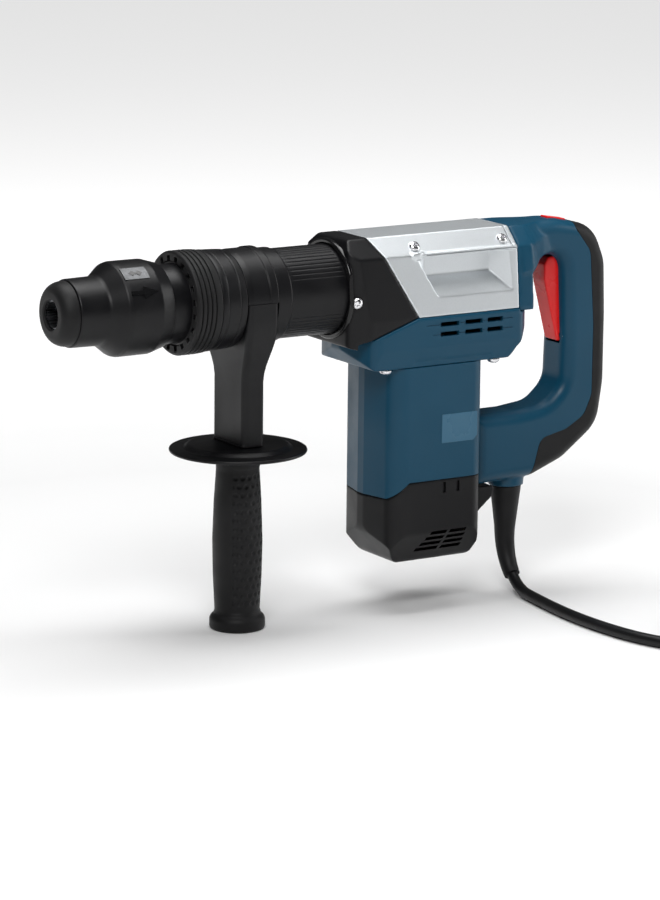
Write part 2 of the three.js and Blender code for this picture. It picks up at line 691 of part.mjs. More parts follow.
function sideGrip() {
  const foot = [[0, 0], [0, 18.8], [1.4, 20.2], [8, 20.2], [11, 17.4], [14, 16.7]];
  const grip = [[40, 17.9], [66, 18.4], [95, 17.4], [120, 15.8], [126, 17.5], [130.9, 17.5]];
  return turnedZ([...foot, ...grip, [130.9, 4.6], [94, 4.6], [94, 0]], 32, HANDLE_X);
}

// ---------- screws ----------
// A pan-head screw along +Z with the underside of its head at the origin.
function screw(shank) {
  return turned([[-shank, 0], [-shank, 2], [0, 2], [0, 4.4], [2, 4.2], [2.9, 2.8], [2.9, 0]], 14);
}

// A screw's seat: its shank hole and a flat for its head.
function screwSeat(shank) {
  return turned([[-shank - 1, 0], [-shank - 1, 2.3], [-GAP, 2.3], [-GAP, 5.2], [9, 5.2], [9, 0]], 14);
}

// Turns a drawing along +Z to a screw's direction and moves it to the screw's place.
function placed(geometry, place, direction) {
  geometry.rotateX(Math.PI / 2);
  const turn = new THREE.Quaternion().setFromUnitVectors(UP, new THREE.Vector3(...direction).normalize());
  geometry.applyQuaternion(turn);
  geometry.translate(...place);
  return solid(geometry);
}

const SCREWS = [
  ['housing_screw_front', 7, [FRONT_SCREW_X, -27.5, 273.2], [0, -0.71, 0.71], 'gearHousing'],
  ['housing_screw_rear', 7, [125, -27.5, 273.2], [0, -0.71, 0.71], 'gearHousing'],
  ['cover_screw', 2.4, [-3.4, -33.3, 237.2], [-0.4, -0.917, 0], 'gearCover'],
];
const onSide = (place, side) => [place[0], place[1] * -side, place[2]];

function withScrewHoles(manifold, host) {
  let drilled = manifold;
  for (const [, shank, place, direction, hostName] of SCREWS) {
    if (hostName !== host) continue;
    for (const side of [-1, 1]) {
      drilled = drilled.subtract(placed(screwSeat(shank), onSide(place, side), onSide(direction, side)));
    }
  }
  return drilled;
}

// ---------- cord ----------
// The boot hangs straight, then bends towards the floor, and the lead follows the same arc.
const BEND_R = 40;
const BEND_HEADING = (-98 * Math.PI) / 180;
const BOOT_TOP_Z = 80.4;
const BEND_TOP_Z = BEND_R + CORD_D / 2 + 0.25;
const BOOT_ANGLE = (50 * Math.PI) / 180;

function bendPoint(angle) {
  const out = BEND_R * (1 - Math.cos(angle));
  const x = CORD_EXIT[0] + out * Math.cos(BEND_HEADING);
  const y = CORD_EXIT[1] + out * Math.sin(BEND_HEADING);
  return new THREE.Vector3(x, y, BEND_TOP_Z - BEND_R * Math.sin(angle));
}

// A tapered tube: rings of the given radius round each point, square to the path.
function taperedTube(points, radii, sides) {
  const positions = [];
  const index = [];
  points.forEach((point, i) => {
    const ahead = points[Math.min(i + 1, points.length - 1)];
    const behind = points[Math.max(i - 1, 0)];
    const along = ahead.clone().sub(behind).normalize();
    const across = new THREE.Vector3(1, 0, 0).addScaledVector(along, -along.x).normalize();
    const third = along.clone().cross(across);
    for (let j = 0; j < sides; j++) {
      const angle = (2 * Math.PI * j) / sides;
      const spot = point.clone().addScaledVector(across, radii[i] * Math.cos(angle));
      positions.push(...spot.addScaledVector(third, radii[i] * Math.sin(angle)).toArray());
    }
  });
  for (let i = 0; i + 1 < points.length; i++) {
    for (let j = 0; j < sides; j++) {
      const [a, b] = [i * sides + j, i * sides + ((j + 1) % sides)];
      index.push(a, b, b + sides, a, b + sides, a + sides);
    }
  }
  const last = (points.length - 1) * sides;
  for (let j = 1; j + 1 < sides; j++) index.push(0, j + 1, j, last, last + j, last + j + 1);
  const geometry = new THREE.BufferGeometry();
  geometry.setAttribute('position', new THREE.Float32BufferAttribute(positions, 3));
  geometry.setIndex(index);
  return solid(geometry);
}

function cordBoot() {
  const points = [new THREE.Vector3(...CORD_EXIT, BOOT_TOP_Z), new THREE.Vector3(...CORD_EXIT, 62)];
  const radii = [11.8, 9.2];
  for (let i = 0; i <= 4; i++) {
    points.push(bendPoint((BOOT_ANGLE * i) / 4));
    radii.push(7.8 - 0.4 * i);
  }
  return taperedTube(points, radii, 16);
}

// The rest of the lead's route on the floor, up to the coil.
const FLOOR_Z = CORD_D / 2 + 0.25;
const FLOOR_ROUTE = [
  [141.5, -75], [138.5, -105], [138.5, -135], [141, -165], [146.5, -190], [155, -208.5], [166.5, -223],
];
const COIL_OUTER_R = 66.6;
const COIL_INNER_R = 31.4;
const COIL_TOP_Z = 17.6;
// The radius at which a cord runs just clear of the coil's side.
const COIL_SIDE_R = COIL_OUTER_R + CORD_D / 2 + 0.6;

function coilPoint(angle, radius, z) {
  return new THREE.Vector3(COIL_X + radius * Math.cos(angle), COIL_Y + radius * Math.sin(angle), z);
}

function cordLead() {
  const points = [];
  const start = BOOT_ANGLE + 0.05;
  for (let i = 0; i <= 4; i++) points.push(bendPoint(start + ((Math.PI / 2 - start) * i) / 4));
  for (const [x, y] of FLOOR_ROUTE) points.push(new THREE.Vector3(x, y, FLOOR_Z));
  for (let i = 0; i <= 4; i++) points.push(coilPoint(((205 + 10 * i) * Math.PI) / 180, COIL_SIDE_R, FLOOR_Z));
  return tube(new THREE.CatmullRomCurve3(points, false, 'centripetal'), CORD_D / 2, 22, 10);
}

const PLUG_HEADING = (92 * Math.PI) / 180;
const PLUG_REAR = new THREE.Vector3(307, -128, 13.4);

function cordTail() {
  const start = coilPoint((22 * Math.PI) / 180, COIL_SIDE_R, 13);
  const heading = new THREE.Vector3(Math.cos(PLUG_HEADING), Math.sin(PLUG_HEADING), 0);
  const beforePlug = PLUG_REAR.clone().addScaledVector(heading, -12);
  const points = [start, new THREE.Vector3(311.5, -160, 11), beforePlug, PLUG_REAR];
  return tube(new THREE.CatmullRomCurve3(points, false, 'centripetal'), CORD_D / 2, 9, 10);
}

function plugBody() {
  const geometry = turned([[0.4, 0], [0.4, 6], [14, 8], [20, 15], [38, 17.5], [42, 17.5], [42, 0]], 24);
  geometry.scale(1, 1, 0.76);
  return onPlug(geometry);
}

function plugPin(side) {
  const geometry = new THREE.CylinderGeometry(2.4, 2.4, 19, 12);
  geometry.translate(side * 9.5, 42 + GAP + 9.5, 0);
  return onPlug(geometry);
}

// From a drawing along +Y to the plug's place on the floor.
function onPlug(geometry) {
  geometry.rotateZ(PLUG_HEADING - Math.PI / 2);
  geometry.translate(...PLUG_REAR.toArray());
  return solid(geometry);
}

// ---------- assembly ----------
piece('dust_cap', dustCap(), 'rubber');
piece('tool_holder', toolHolder(), 'hardSteel');
piece('locking_segment_upper', lockSegment(1), 'hardSteel');
piece('locking_segment_lower', lockSegment(-1), 'hardSteel');
piece('locking_sleeve', lockingSleeve(), 'black');
piece('lock_ring', lockRing(), 'steel');
piece('sleeve_spring', tube(new Helix(-169.6, -153.6, 26.9, 3.5), 0.8, 56, 5), 'steel');
piece('position_ring', positionRing(), 'rubber');
piece('barrel_housing', barrelHousing(), 'black');

piece('bolt_guide', boltGuide(), 'brass');
piece('impact_bolt', impactBolt(), 'hardSteel');
piece('striker', striker(), 'hardSteel');
piece('striker_seal', seal(-80, -77), 'rubber');
piece('cylinder_tube', ringX(-118.5, 2, CYLINDER_R, 24, 32), 'steel');
piece('piston', piston(), 'aluminium');
piece('piston_seal', seal(-52, -49), 'rubber');
piece('wrist_pin', wristPin(), 'hardSteel');
piece('connecting_rod', connectingRod(), 'steel');
piece('crank_pin', crankPin(), 'hardSteel');
piece('crank_shaft', crankShaft(), 'hardSteel');
piece('crank_gear', crankGear(), 'steel');
piece('crank_bearing', ringZ(189.6, 196, 8.7, 15, CRANK_X), 'steel');
piece('bearing_plate', bearingPlate(), 'aluminium');

piece('armature_shaft', armatureShaft(), 'hardSteel');
piece('armature_core', ringZ(112, 160, 4.1, 22, MOTOR_X), 'laminate');
piece('commutator', ringZ(78, 98, 4.1, 13, MOTOR_X), 'copper');
piece('cooling_fan', coolingFan(), 'black');
piece('upper_bearing', ringZ(189.6, 196, 4.1, 11, MOTOR_X), 'steel');
piece('lower_bearing', ringZ(56, 63, 4.1, 11, MOTOR_X), 'steel');
piece('stator_core', statorCore(), 'laminate');
piece('field_coil', ringZ(160.3, 170.5, 23.5, 31, MOTOR_X), 'copper');
for (const [end, side] of [['front', -1], ['rear', 1]]) {
  piece(`brush_holder_${end}`, brushHolder(side), 'brass');
  piece(`carbon_brush_${end}`, carbonBrush(side), 'carbon');
}

piece('gear_cover', withScrewHoles(gearCover(), 'gearCover'), 'black');
piece('gear_housing', withScrewHoles(gearHousing(), 'gearHousing'), 'aluminium');
piece('lower_gearbox', lowerGearbox(), 'blue');
piece('motor_housing', motorHousing(), 'blue');
piece('motor_cap', motorCap(), 'black');
for (const [name, shank, place, direction] of SCREWS) {
  piece(`${name}_right`, placed(screw(shank), place, direction), 'steel');
}

piece('handle_shell_left', handleHalf(1), 'blue');
piece('handle_shell_right', handleHalf(-1), 'blue');
piece('soft_grip', softGrip(), 'rubber');
piece('trigger', triggerKey(), 'red');
piece('trigger_pin', triggerPin(), 'steel');
piece('switch_block', switchBlock(), 'black');
piece('lock_button', lockButton(), 'red');

piece('clamp_band', clampBand(), 'black');
piece('handle_stem', handleStem(), 'black');
piece('clamp_bolt', clampBolt(), 'steel');
piece('guard_disc', guardDisc(), 'black');
piece('side_grip', sideGrip(), 'rubber');

piece('cord_boot', cordBoot(), 'rubber');
piece('cord_lead', cordLead(), 'rubber');
piece('cord_coil', ringZ(0.2, COIL_TOP_Z, COIL_INNER_R, COIL_OUTER_R, COIL_X, COIL_Y, 32), 'rubber');
piece('cord_tail', cordTail(), 'rubber');
piece('plug_body', plugBody(), 'rubber');

export default hammer;
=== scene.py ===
# The looks of the demolition hammer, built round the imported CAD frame.
# Lengths are in millimetres and turn into metres as each mesh is made.
import json
import math

import bmesh
import bpy
from mathutils import Matrix, Vector


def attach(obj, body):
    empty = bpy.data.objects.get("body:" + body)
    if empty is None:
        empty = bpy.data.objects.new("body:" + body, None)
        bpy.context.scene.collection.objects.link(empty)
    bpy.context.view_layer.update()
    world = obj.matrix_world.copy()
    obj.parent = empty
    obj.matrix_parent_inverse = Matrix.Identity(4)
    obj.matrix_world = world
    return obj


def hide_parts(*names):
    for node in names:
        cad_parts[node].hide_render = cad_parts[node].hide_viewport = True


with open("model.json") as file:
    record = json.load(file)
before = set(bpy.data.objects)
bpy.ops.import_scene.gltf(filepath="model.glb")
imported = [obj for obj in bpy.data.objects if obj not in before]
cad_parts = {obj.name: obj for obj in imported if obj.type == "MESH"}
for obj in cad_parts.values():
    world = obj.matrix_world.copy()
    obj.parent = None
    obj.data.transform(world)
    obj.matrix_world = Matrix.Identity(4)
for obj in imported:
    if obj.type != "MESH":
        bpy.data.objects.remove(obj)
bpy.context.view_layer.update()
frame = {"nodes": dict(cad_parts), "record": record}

MM = 0.001
NODES = frame["nodes"]

# ---------- driving dimensions, as in the CAD model ----------
AXIS_Z = 243.5
HANDLE_X = -82
MOTOR_X = 67
NOSE_X = -234
BODY_HALF = 37.3
BODY_TOP = 281.4
SPLIT_Z = 222.6
BODY_REAR_X = 136
MOTOR_HALF_X = 44.5
MOTOR_HALF_Y = 36.5
MOTOR_REAR_X = MOTOR_X + MOTOR_HALF_X
GRIP_HALF = 18
CORD_D = 8.5
CORD_X = 152
COIL_X = 246
COIL_Y = -204
COIL_MID_R = 49
COIL_PITCH = 8.75

# ---------- camera ----------
AZIMUTH = math.radians(-32)
ELEVATION = math.radians(12.3)
ROLL = math.radians(0.6)
TARGET = Vector((-0.004, 0, 0.1233))
DISTANCE = 2.9


def make_camera():
    data = bpy.data.cameras.new("camera")
    data.sensor_width = 36
    data.lens = 158.9
    camera = bpy.data.objects.new("camera", data)
    bpy.context.scene.collection.objects.link(camera)
    level = Vector((math.cos(AZIMUTH), math.sin(AZIMUTH), 0))
    flat = math.cos(ELEVATION)
    back = Vector((math.sin(AZIMUTH) * flat, -math.cos(AZIMUTH) * flat, math.sin(ELEVATION)))
    rise = back.cross(level)
    right = level * math.cos(ROLL) + rise * math.sin(ROLL)
    up = rise * math.cos(ROLL) - level * math.sin(ROLL)
    turn = Matrix((right, up, back)).transposed().to_4x4()
    camera.matrix_world = Matrix.Translation(TARGET + back * DISTANCE) @ turn
    bpy.context.scene.camera = camera


make_camera()


# ---------- node materials ----------
class Nodes:
    """A material's node tree, with short calls for what the materials below need."""

    def __init__(self, name, colour, roughness, metallic=0.0, coat=0.0):
        self.material = bpy.data.materials.new(name)
        self.material.use_nodes = True
        self.material.diffuse_color = (*colour, 1)
        self.tree = self.material.node_tree
        self.shader = self.tree.nodes["Principled BSDF"]
        self.shader.inputs["Base Color"].default_value = (*colour, 1)
        self.shader.inputs["Roughness"].default_value = roughness
        self.shader.inputs["Metallic"].default_value = metallic
        self.shader.inputs["Coat Weight"].default_value = coat
        self.place = self.add("ShaderNodeTexCoord").outputs["Object"]
        self.normal = None

    def add(self, kind, **settings):
        node = self.tree.nodes.new(kind)
        for key, value in settings.items():
            setattr(node, key, value)
        return node

    def link(self, source, target):
        self.tree.links.new(source, target)

    def stretched(self, scale):
        mapping = self.add("ShaderNodeMapping")
        mapping.inputs["Scale"].default_value = scale
        self.link(self.place, mapping.inputs["Vector"])
        return mapping.outputs["Vector"]

    def noise(self, scale, detail=4.0, vector=None):
        node = self.add("ShaderNodeTexNoise")
        node.inputs["Scale"].default_value = scale
        node.inputs["Detail"].default_value = detail
        self.link(vector or self.place, node.inputs["Vector"])
        return node.outputs["Fac"]

    def span(self, value, low, high, start=0.3, end=0.7):
        node = self.add("ShaderNodeMapRange")
        node.inputs["From Min"].default_value = start
        node.inputs["From Max"].default_value = end
        node.inputs["To Min"].default_value = low
        node.inputs["To Max"].default_value = high
        self.link(value, node.inputs["Value"])
        return node.outputs["Result"]

    def mix(self, factor, first, second):
        node = self.add("ShaderNodeMix", data_type="RGBA")
        self.link(factor, node.inputs["Factor"])
        for socket, colour in ((node.inputs[6], first), (node.inputs[7], second)):
            if isinstance(colour, bpy.types.NodeSocket):
                self.link(colour, socket)
            else:
                socket.default_value = (*colour, 1)
        return node.outputs[2]

    def colour(self, value):
        self.link(value, self.shader.inputs["Base Color"])

    def roughness(self, value):
        self.link(value, self.shader.inputs["Roughness"])

    def bump(self, height, strength, distance):
        node = self.add("ShaderNodeBump")
        node.inputs["Strength"].default_value = strength
        node.inputs["Distance"].default_value = distance
        self.link(height, node.inputs["Height"])
        if self.normal:
            self.link(self.normal, node.inputs["Normal"])
        self.normal = node.outputs["Normal"]
        self.link(self.normal, self.shader.inputs["Normal"])


def shade(colour, factor):
    return tuple(min(1.0, channel * factor) for channel in colour)


def moulded(name, colour, roughness, grain=0.35, coat=0.0, spread=0.12):
    """Moulded plastic: spark-eroded grain, faint flow marks, and handling shine."""
    look = Nodes(name, colour, roughness, coat=coat)
    look.shader.inputs["Specular IOR Level"].default_value = 0.26
    flow = look.noise(14, 3)
    look.colour(look.mix(flow, shade(colour, 1 - spread), shade(colour, 1 + spread)))
    worn = look.noise(32, 6)
    look.roughness(look.span(worn, roughness - 0.07, roughness + 0.08))
    look.bump(look.noise(2600, 2), grain, 0.00006)
    look.bump(look.noise(260, 2), grain * 0.25, 0.0001)
    return look.material


def rubbered(name, colour, roughness):
    """Soft rubber with a dusty sheen and a fine grain."""
    look = Nodes(name, colour, roughness)
    look.shader.inputs["Specular IOR Level"].default_value = 0.26
    look.shader.inputs["Sheen Weight"].default_value = 0.04
    look.shader.inputs["Sheen Roughness"].default_value = 0.5
    dust = look.noise(22, 5)
    look.colour(look.mix(dust, shade(colour, 0.8), shade(colour, 1.35)))
    look.roughness(look.span(look.noise(60, 4), roughness - 0.06, roughness + 0.1))
    look.bump(look.noise(1900, 2), 0.35, 0.00007)
    return look.material


def blasted_metal(name, colour, roughness):
    """Die-cast metal, fine blasted: speckled grain, soft cloudy shine, and a few casting pores."""
    look = Nodes(name, colour, roughness, metallic=1.0)
    look.colour(look.mix(look.noise(9, 4), shade(colour, 0.9), shade(colour, 1.07)))
    look.roughness(look.span(look.noise(900, 3), roughness - 0.08, roughness + 0.1))
    look.bump(look.noise(1700, 2), 0.30, 0.00010)
    look.bump(look.noise(170, 2), 0.10, 0.0002)
    return look.material


def machined(name, colour, roughness, stretch=(40, 40, 1400)):
    """Turned, ground or drawn metal with fine lines square to the stretch."""
    look = Nodes(name, colour, roughness, metallic=1.0)
    lines = look.noise(1.0, 3, look.stretched(stretch))
    look.colour(look.mix(look.noise(30, 3), shade(colour, 0.85), shade(colour, 1.1)))
    look.roughness(look.span(lines, roughness - 0.07, roughness + 0.12))
    look.bump(lines, 0.15, 0.00005)
    return look.material


BLUE = moulded("blue_plastic", (0.0030, 0.052, 0.098), 0.38, 0.30)
BLACK = moulded("black_plastic", (0.0032, 0.0032, 0.0040), 0.40, 0.40)
BLACK_GLOSS = moulded("black_gloss", (0.005, 0.005, 0.0055), 0.22, 0.12, coat=0.2)
RED = moulded("red_plastic", (0.74, 0.012, 0.012), 0.30, 0.10, coat=0.1)
RUBBER = rubbered("soft_rubber", (0.0035, 0.0035, 0.0040), 0.52)
CORD_SKIN = rubbered("cord_rubber", (0.0035, 0.0035, 0.0040), 0.38)
ALUMINIUM = blasted_metal("cast_aluminium", (0.66, 0.69, 0.71), 0.46)
PLATE_METAL = blasted_metal("sleeve_plate", (0.085, 0.087, 0.09), 0.34)
ZINC = machined("zinc_screw", (0.78, 0.78, 0.80), 0.22, (900, 900, 60))
STEEL = machined("machined_steel", (0.52, 0.53, 0.55), 0.28)
HARD_STEEL = machined("ground_steel", (0.30, 0.31, 0.33), 0.26)
LAMINATED = machined("laminated_steel", (0.34, 0.35, 0.37), 0.45, (10, 10, 2200))
COPPER = machined("copper", (0.66, 0.29, 0.14), 0.32, (300, 300, 40))
BRASS = machined("brass", (0.72, 0.52, 0.20), 0.30)
CARBON = moulded("carbon", (0.02, 0.02, 0.022), 0.65, 0.6)
PLATE = moulded("side_plate", (0.040, 0.125, 0.20), 0.28, 0.05, spread=0.06)

CAD_LOOKS = {
    "black_plastic": BLACK,
    "blue_plastic": BLUE,
    "rubber": RUBBER,
    "red_plastic": RED,
    "cast_aluminium": ALUMINIUM,
    "steel": STEEL,
    "hard_steel": HARD_STEEL,
    "screw_steel": ZINC,
    "laminated_steel": LAMINATED,
    "copper": COPPER,
    "brass": BRASS,
    "carbon": CARBON,
}


def dress_cad_nodes():
    for part in frame["record"]["subparts"]:
        slots = NODES[part["node"]].data.materials
        slots.clear()
        slots.append(CAD_LOOKS[part["material_slot"]])


# ---------- mesh helpers ----------
def new_object(name, mesh):
    obj = bpy.data.objects.new(name, mesh)
    bpy.context.scene.collection.objects.link(obj)
    return obj


def from_bmesh(name, bm):
    """An object from a mesh drawn in millimetres, which is used up."""
    bmesh.ops.scale(bm, vec=(MM, MM, MM), verts=bm.verts)
    bmesh.ops.recalc_face_normals(bm, faces=bm.faces)
    mesh = bpy.data.meshes.new(name)
    bm.to_mesh(mesh)
    bm.free()
    return new_object(name, mesh)


def applied(obj):
    """The object with its modifiers made real."""
    bpy.context.view_layer.update()
    seen = obj.evaluated_get(bpy.context.evaluated_depsgraph_get())
    mesh = bpy.data.meshes.new_from_object(seen)
    old = obj.data
    obj.modifiers.clear()
    obj.data = mesh
    bpy.data.meshes.remove(old)
    return obj


def joined(obj, other, how):
    """A boolean with another object, which is used up."""
    modifier = obj.modifiers.new("boolean", "BOOLEAN")
    modifier.operation = how
    modifier.solver = "MANIFOLD"
    modifier.object = other
    applied(obj)
    bpy.data.objects.remove(other)
    return obj


def cut(obj, *others):
    for other in others:
        joined(obj, other, "DIFFERENCE")
    return obj


def common(obj, *others):
    for other in others:
        joined(obj, other, "INTERSECT")
    return obj


def merged(obj, *others):
    for other in others:
        joined(obj, other, "UNION")
    return obj


def soften(obj, width, segments=3, angle=28):
    """Rounds every edge sharper than the angle, then shades smoothly."""
    bm = bmesh.new()
    bm.from_mesh(obj.data)
    bmesh.ops.remove_doubles(bm, verts=bm.verts, dist=0.02 * MM)
    bmesh.ops.dissolve_limit(bm, angle_limit=math.radians(1.0), verts=bm.verts, edges=bm.edges)
    bm.to_mesh(obj.data)
    bm.free()
    bevel = obj.modifiers.new("bevel", "BEVEL")
    bevel.width = width * MM
    bevel.segments = segments
    bevel.limit_method = "ANGLE"
    bevel.angle_limit = math.radians(angle)
    bevel.use_clamp_overlap = False
    bevel.miter_outer = "MITER_ARC"
    bevel.harden_normals = True
    applied(obj)
    return smooth(obj, 32)


def smooth(obj, angle=35):
    mesh = obj.data
    mesh.shade_smooth()
    mesh.set_sharp_from_angle(angle=math.radians(angle))
    weighted = obj.modifiers.new("weighted_normals", "WEIGHTED_NORMAL")
    weighted.keep_sharp = True
    weighted.weight = 90
    return obj


def melted(obj, voxel=0.9, repeats=7):
    """Rounds every edge as a moulding has it: a fine even mesh, relaxed."""
    remesh = obj.modifiers.new("remesh", "REMESH")
    remesh.mode = "VOXEL"
    remesh.voxel_size = voxel * MM
    relax = obj.modifiers.new("relax", "SMOOTH")
    relax.factor = 0.5
    relax.iterations = repeats
    return applied(obj)


def finish_piece(obj, material, body, slot, *nodes):
    if obj.type == "MESH":
        applied(obj)
    obj.data.materials.clear()
    obj.data.materials.append(material)
    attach(obj, body)
    if nodes:
        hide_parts(*nodes)
    return obj


def rounded(corners, steps=6):
    """Points round an outline of corners (x, y) or, with a fillet, (x, y, radius)."""
    points = []
    count = len(corners)
    for i, corner in enumerate(corners):
        here = Vector(corner[:2])
        radius = corner[2] if len(corner) > 2 else 0
        before = Vector(corners[i - 1][:2]) - here
        after = Vector(corners[(i + 1) % count][:2]) - here
        if radius == 0:
            points.append(here)
            continue
        turn = before.angle(after)
        run = radius / math.tan(turn / 2)
        start = here + before.normalized() * run
        end = here + after.normalized() * run
        inward = (before.normalized() + after.normalized()).normalized()
        middle = here + inward * (radius / math.sin(turn / 2))
        first = start - middle
        sweep = first.angle_signed(end - middle)
        for k in range(steps + 1):
            angle = -sweep * k / steps
            points.append(middle + Matrix.Rotation(angle, 2) @ first)
    return points


# How a drawing's two axes and its depth stand in space.
SIDE = lambda u, v, w: (u, w, v)
END = lambda u, v, w: (w, u, v)
PLAN = lambda u, v, w: (u, v, w)
FLANK = lambda u, v, w: (u, -w, v)


def prism(name, corners, low, high, plane, steps=6):
    points = rounded(corners, steps)
    bm = bmesh.new()
    rings = [[bm.verts.new(plane(p.x, p.y, depth)) for p in points] for depth in (low, high)]
    count = len(points)
    bm.faces.new(rings[0])
    bm.faces.new(reversed(rings[1]))
    for i in range(count):
        k = (i + 1) % count
        bm.faces.new((rings[0][i], rings[0][k], rings[1][k], rings[1][i]))
    return from_bmesh(name, bm)


def rectangle(half_u, half_v, radius):
    quarters = ((-1, -1), (1, -1), (1, 1), (-1, 1))
    return [(u * half_u, v * half_v, radius) for u, v in quarters]


def box(name, low, high):
    corners = [(low[0], low[1]), (high[0], low[1]), (high[0], high[1]), (low[0], high[1])]
    return prism(name, corners, low[2], high[2], PLAN)


def fillet_profile(profile, radius, closed):
    """A turned profile with its corners eased by short arcs."""
    out = []
    count = len(profile)
    for i, point in enumerate(profile):
        here = Vector(point)
        if not closed and i in (0, count - 1):
            out.append(here)
            continue
        before = Vector(profile[i - 1]) - here
        after = Vector(profile[(i + 1) % count]) - here
        if before.length < 1e-6 or after.length < 1e-6 or math.pi - before.angle(after) < math.radians(6):
            out.append(here)
            continue
        start = here + before.normalized() * min(radius, before.length * 0.45)
        end = here + after.normalized() * min(radius, after.length * 0.45)
        for t in (0, 0.25, 0.5, 0.75, 1):
            out.append(start * (1 - t) ** 2 + here * 2 * t * (1 - t) + end * t ** 2)
    return out


def lathe(name, profile, axis, centre=(0, 0), ease=0.5, segments=128, dent=None):
    """A turned solid from (distance along the axis, radius). A profile off the axis is a closed ring.
    dent(along, angle, radius) gives each point's radius, for ribs, flats and dimples."""
    closed = profile[0][1] > 0
    points = fillet_profile(profile, ease, closed) if ease else [Vector(p) for p in profile]
    bm = bmesh.new()
    rings = []
    for along, radius in points:
        ring = []
        for k in range(1 if radius < 1e-6 else segments):
            angle = 2 * math.pi * k / segments
            r = dent(along, angle, radius) if dent else radius
            side, rise = centre[0] + r * math.cos(angle), centre[1] + r * math.sin(angle)
            ring.append(bm.verts.new((along, side, rise) if axis == "X" else (side, rise, along)))
        rings.append(ring)
    pairs = list(zip(rings, rings[1:]))
    if closed:
        pairs.append((rings[-1], rings[0]))
    for first, second in pairs:
        for k in range(segments):
            j = (k + 1) % segments
            near = [first[k % len(first)], first[j % len(first)]]
            far = [second[j % len(second)], second[k % len(second)]]
            unique = list(dict.fromkeys(near + far))
            if len(unique) > 2:
                bm.faces.new(unique)
    return smooth(from_bmesh(name, bm))


def lathe_x(name, profile, **options):
    return lathe(name, profile, "X", centre=(0, AXIS_Z), **options)


def stepped(profile, pitch):
    """The profile with its long stretches cut into short ones."""
    out = []
    for first, second in zip(profile, profile[1:]):
        first, second = Vector(first), Vector(second)
        count = max(1, math.ceil((second - first).length / pitch))
        out += [tuple(first.lerp(second, k / count)) for k in range(count)]
    out.append(tuple(profile[-1]))
    return out


def loft(name, sections, place, steps=5):
    """A solid through rounded sections: (station, corners), each with the same number of corners."""
    bm = bmesh.new()
    rings = []
    for station, corners in sections:
        rings.append([bm.verts.new(place(p.x, p.y, station)) for p in rounded(corners, steps)])
    count = len(rings[0])
    for first, second in zip(rings, rings[1:]):
        for i in range(count):
            k = (i + 1) % count
            bm.faces.new((first[i], first[k], second[k], second[i]))
    bm.faces.new(rings[0])
    bm.faces.new(reversed(rings[-1]))
    return from_bmesh(name, bm)


def rod(name, start, end, radius, sides=48):
    """A round bar between two points."""
    start, end = Vector(start), Vector(end)
    length = (end - start).length
    bar = lathe(name, [(0, 0), (0, radius), (length, radius), (length, 0)], "Z", ease=0, segments=sides)
    applied(bar)
    turn = Vector((0, 0, 1)).rotation_difference(end - start).to_matrix().to_4x4()
    bar.data.transform(Matrix.Translation(start * MM) @ turn)
    return bar


def both_sides_plan(half):
    """Half of a plan at -Y, followed by the other half at +Y."""
    return half + [(x, -y, *radius) for x, y, *radius in reversed(half)]


def on_both_sides(make):
    """Two copies of a cutter, the second mirrored across the tool's middle plane."""
    first, second = make(), make()
    second.data.transform(Matrix.Diagonal((1, -1, 1, 1)))
    second.data.flip_normals()
    return [first, second]


def copied(node):
    """A copy of a CAD node's mesh, to be refined."""
    return new_object(f"{node}_look", NODES[node].data.copy())


# ---------- cord ----------
BEND_R = 40
BEND_HEADING = math.radians(-98)
BEND_TOP_Z = BEND_R + CORD_D / 2 + 0.25
FLOOR_Z = CORD_D / 2 + 0.25
FLOOR_ROUTE = [
    (141.5, -75), (138.5, -105), (138.5, -135), (141, -165), (146.5, -190), (155, -208.5), (166.5, -223),
]
COIL_SIDE_R = 71.5
PLUG_HEADING = math.radians(92)
PLUG_REAR = Vector((307, -128, 13.4))
TURNS = 4
TURN_POINTS = 24
COIL_START = 255
BACK_SWEEP = 1567


def bend_point(angle):
    out = BEND_R * (1 - math.cos(angle))
    x = CORD_X + out * math.cos(BEND_HEADING)
    return Vector((x, out * math.sin(BEND_HEADING), BEND_TOP_Z - BEND_R * math.sin(angle)))


def coil_point(degrees, radius, z):
    angle = math.radians(degrees)
    return Vector((COIL_X + radius * math.cos(angle), COIL_Y + radius * math.sin(angle), z))


def cord_route():
    """Down from the handle, round the bend, across the floor, then a layer inwards and a layer outwards."""
    points = [Vector((CORD_X, 0, z)) for z in (80.4, 70, 58)]
    points += [bend_point(math.radians(a)) for a in range(0, 91, 10)]
    points += [Vector((x, y, FLOOR_Z)) for x, y in FLOOR_ROUTE]
    points += [coil_point(a, COIL_SIDE_R - 0.06 * (a - 205), FLOOR_Z) for a in (205, 220, 235)]
    outer, inner = COIL_MID_R + 1.5 * COIL_PITCH, COIL_MID_R - 1.5 * COIL_PITCH
    steps = TURNS * TURN_POINTS
    for k in range(steps + 1):
        radius = outer - (outer - inner) * k / steps
        points.append(coil_point(COIL_START + 360 * k / TURN_POINTS, radius, FLOOR_Z))
    back_steps = round(BACK_SWEEP / 360 * TURN_POINTS)
    for k in range(1, back_steps + 1):
        z = FLOOR_Z + (COIL_PITCH - 0.1) * min(1.0, k / 6)
        leaving = max(0.0, (k - back_steps + 6) / 6)
        radius = inner + (outer - inner) * min(1.0, k / steps) + (COIL_SIDE_R - outer) * leaving ** 2
        points.append(coil_point(COIL_START + 360 * k / TURN_POINTS, radius, z))
    return points


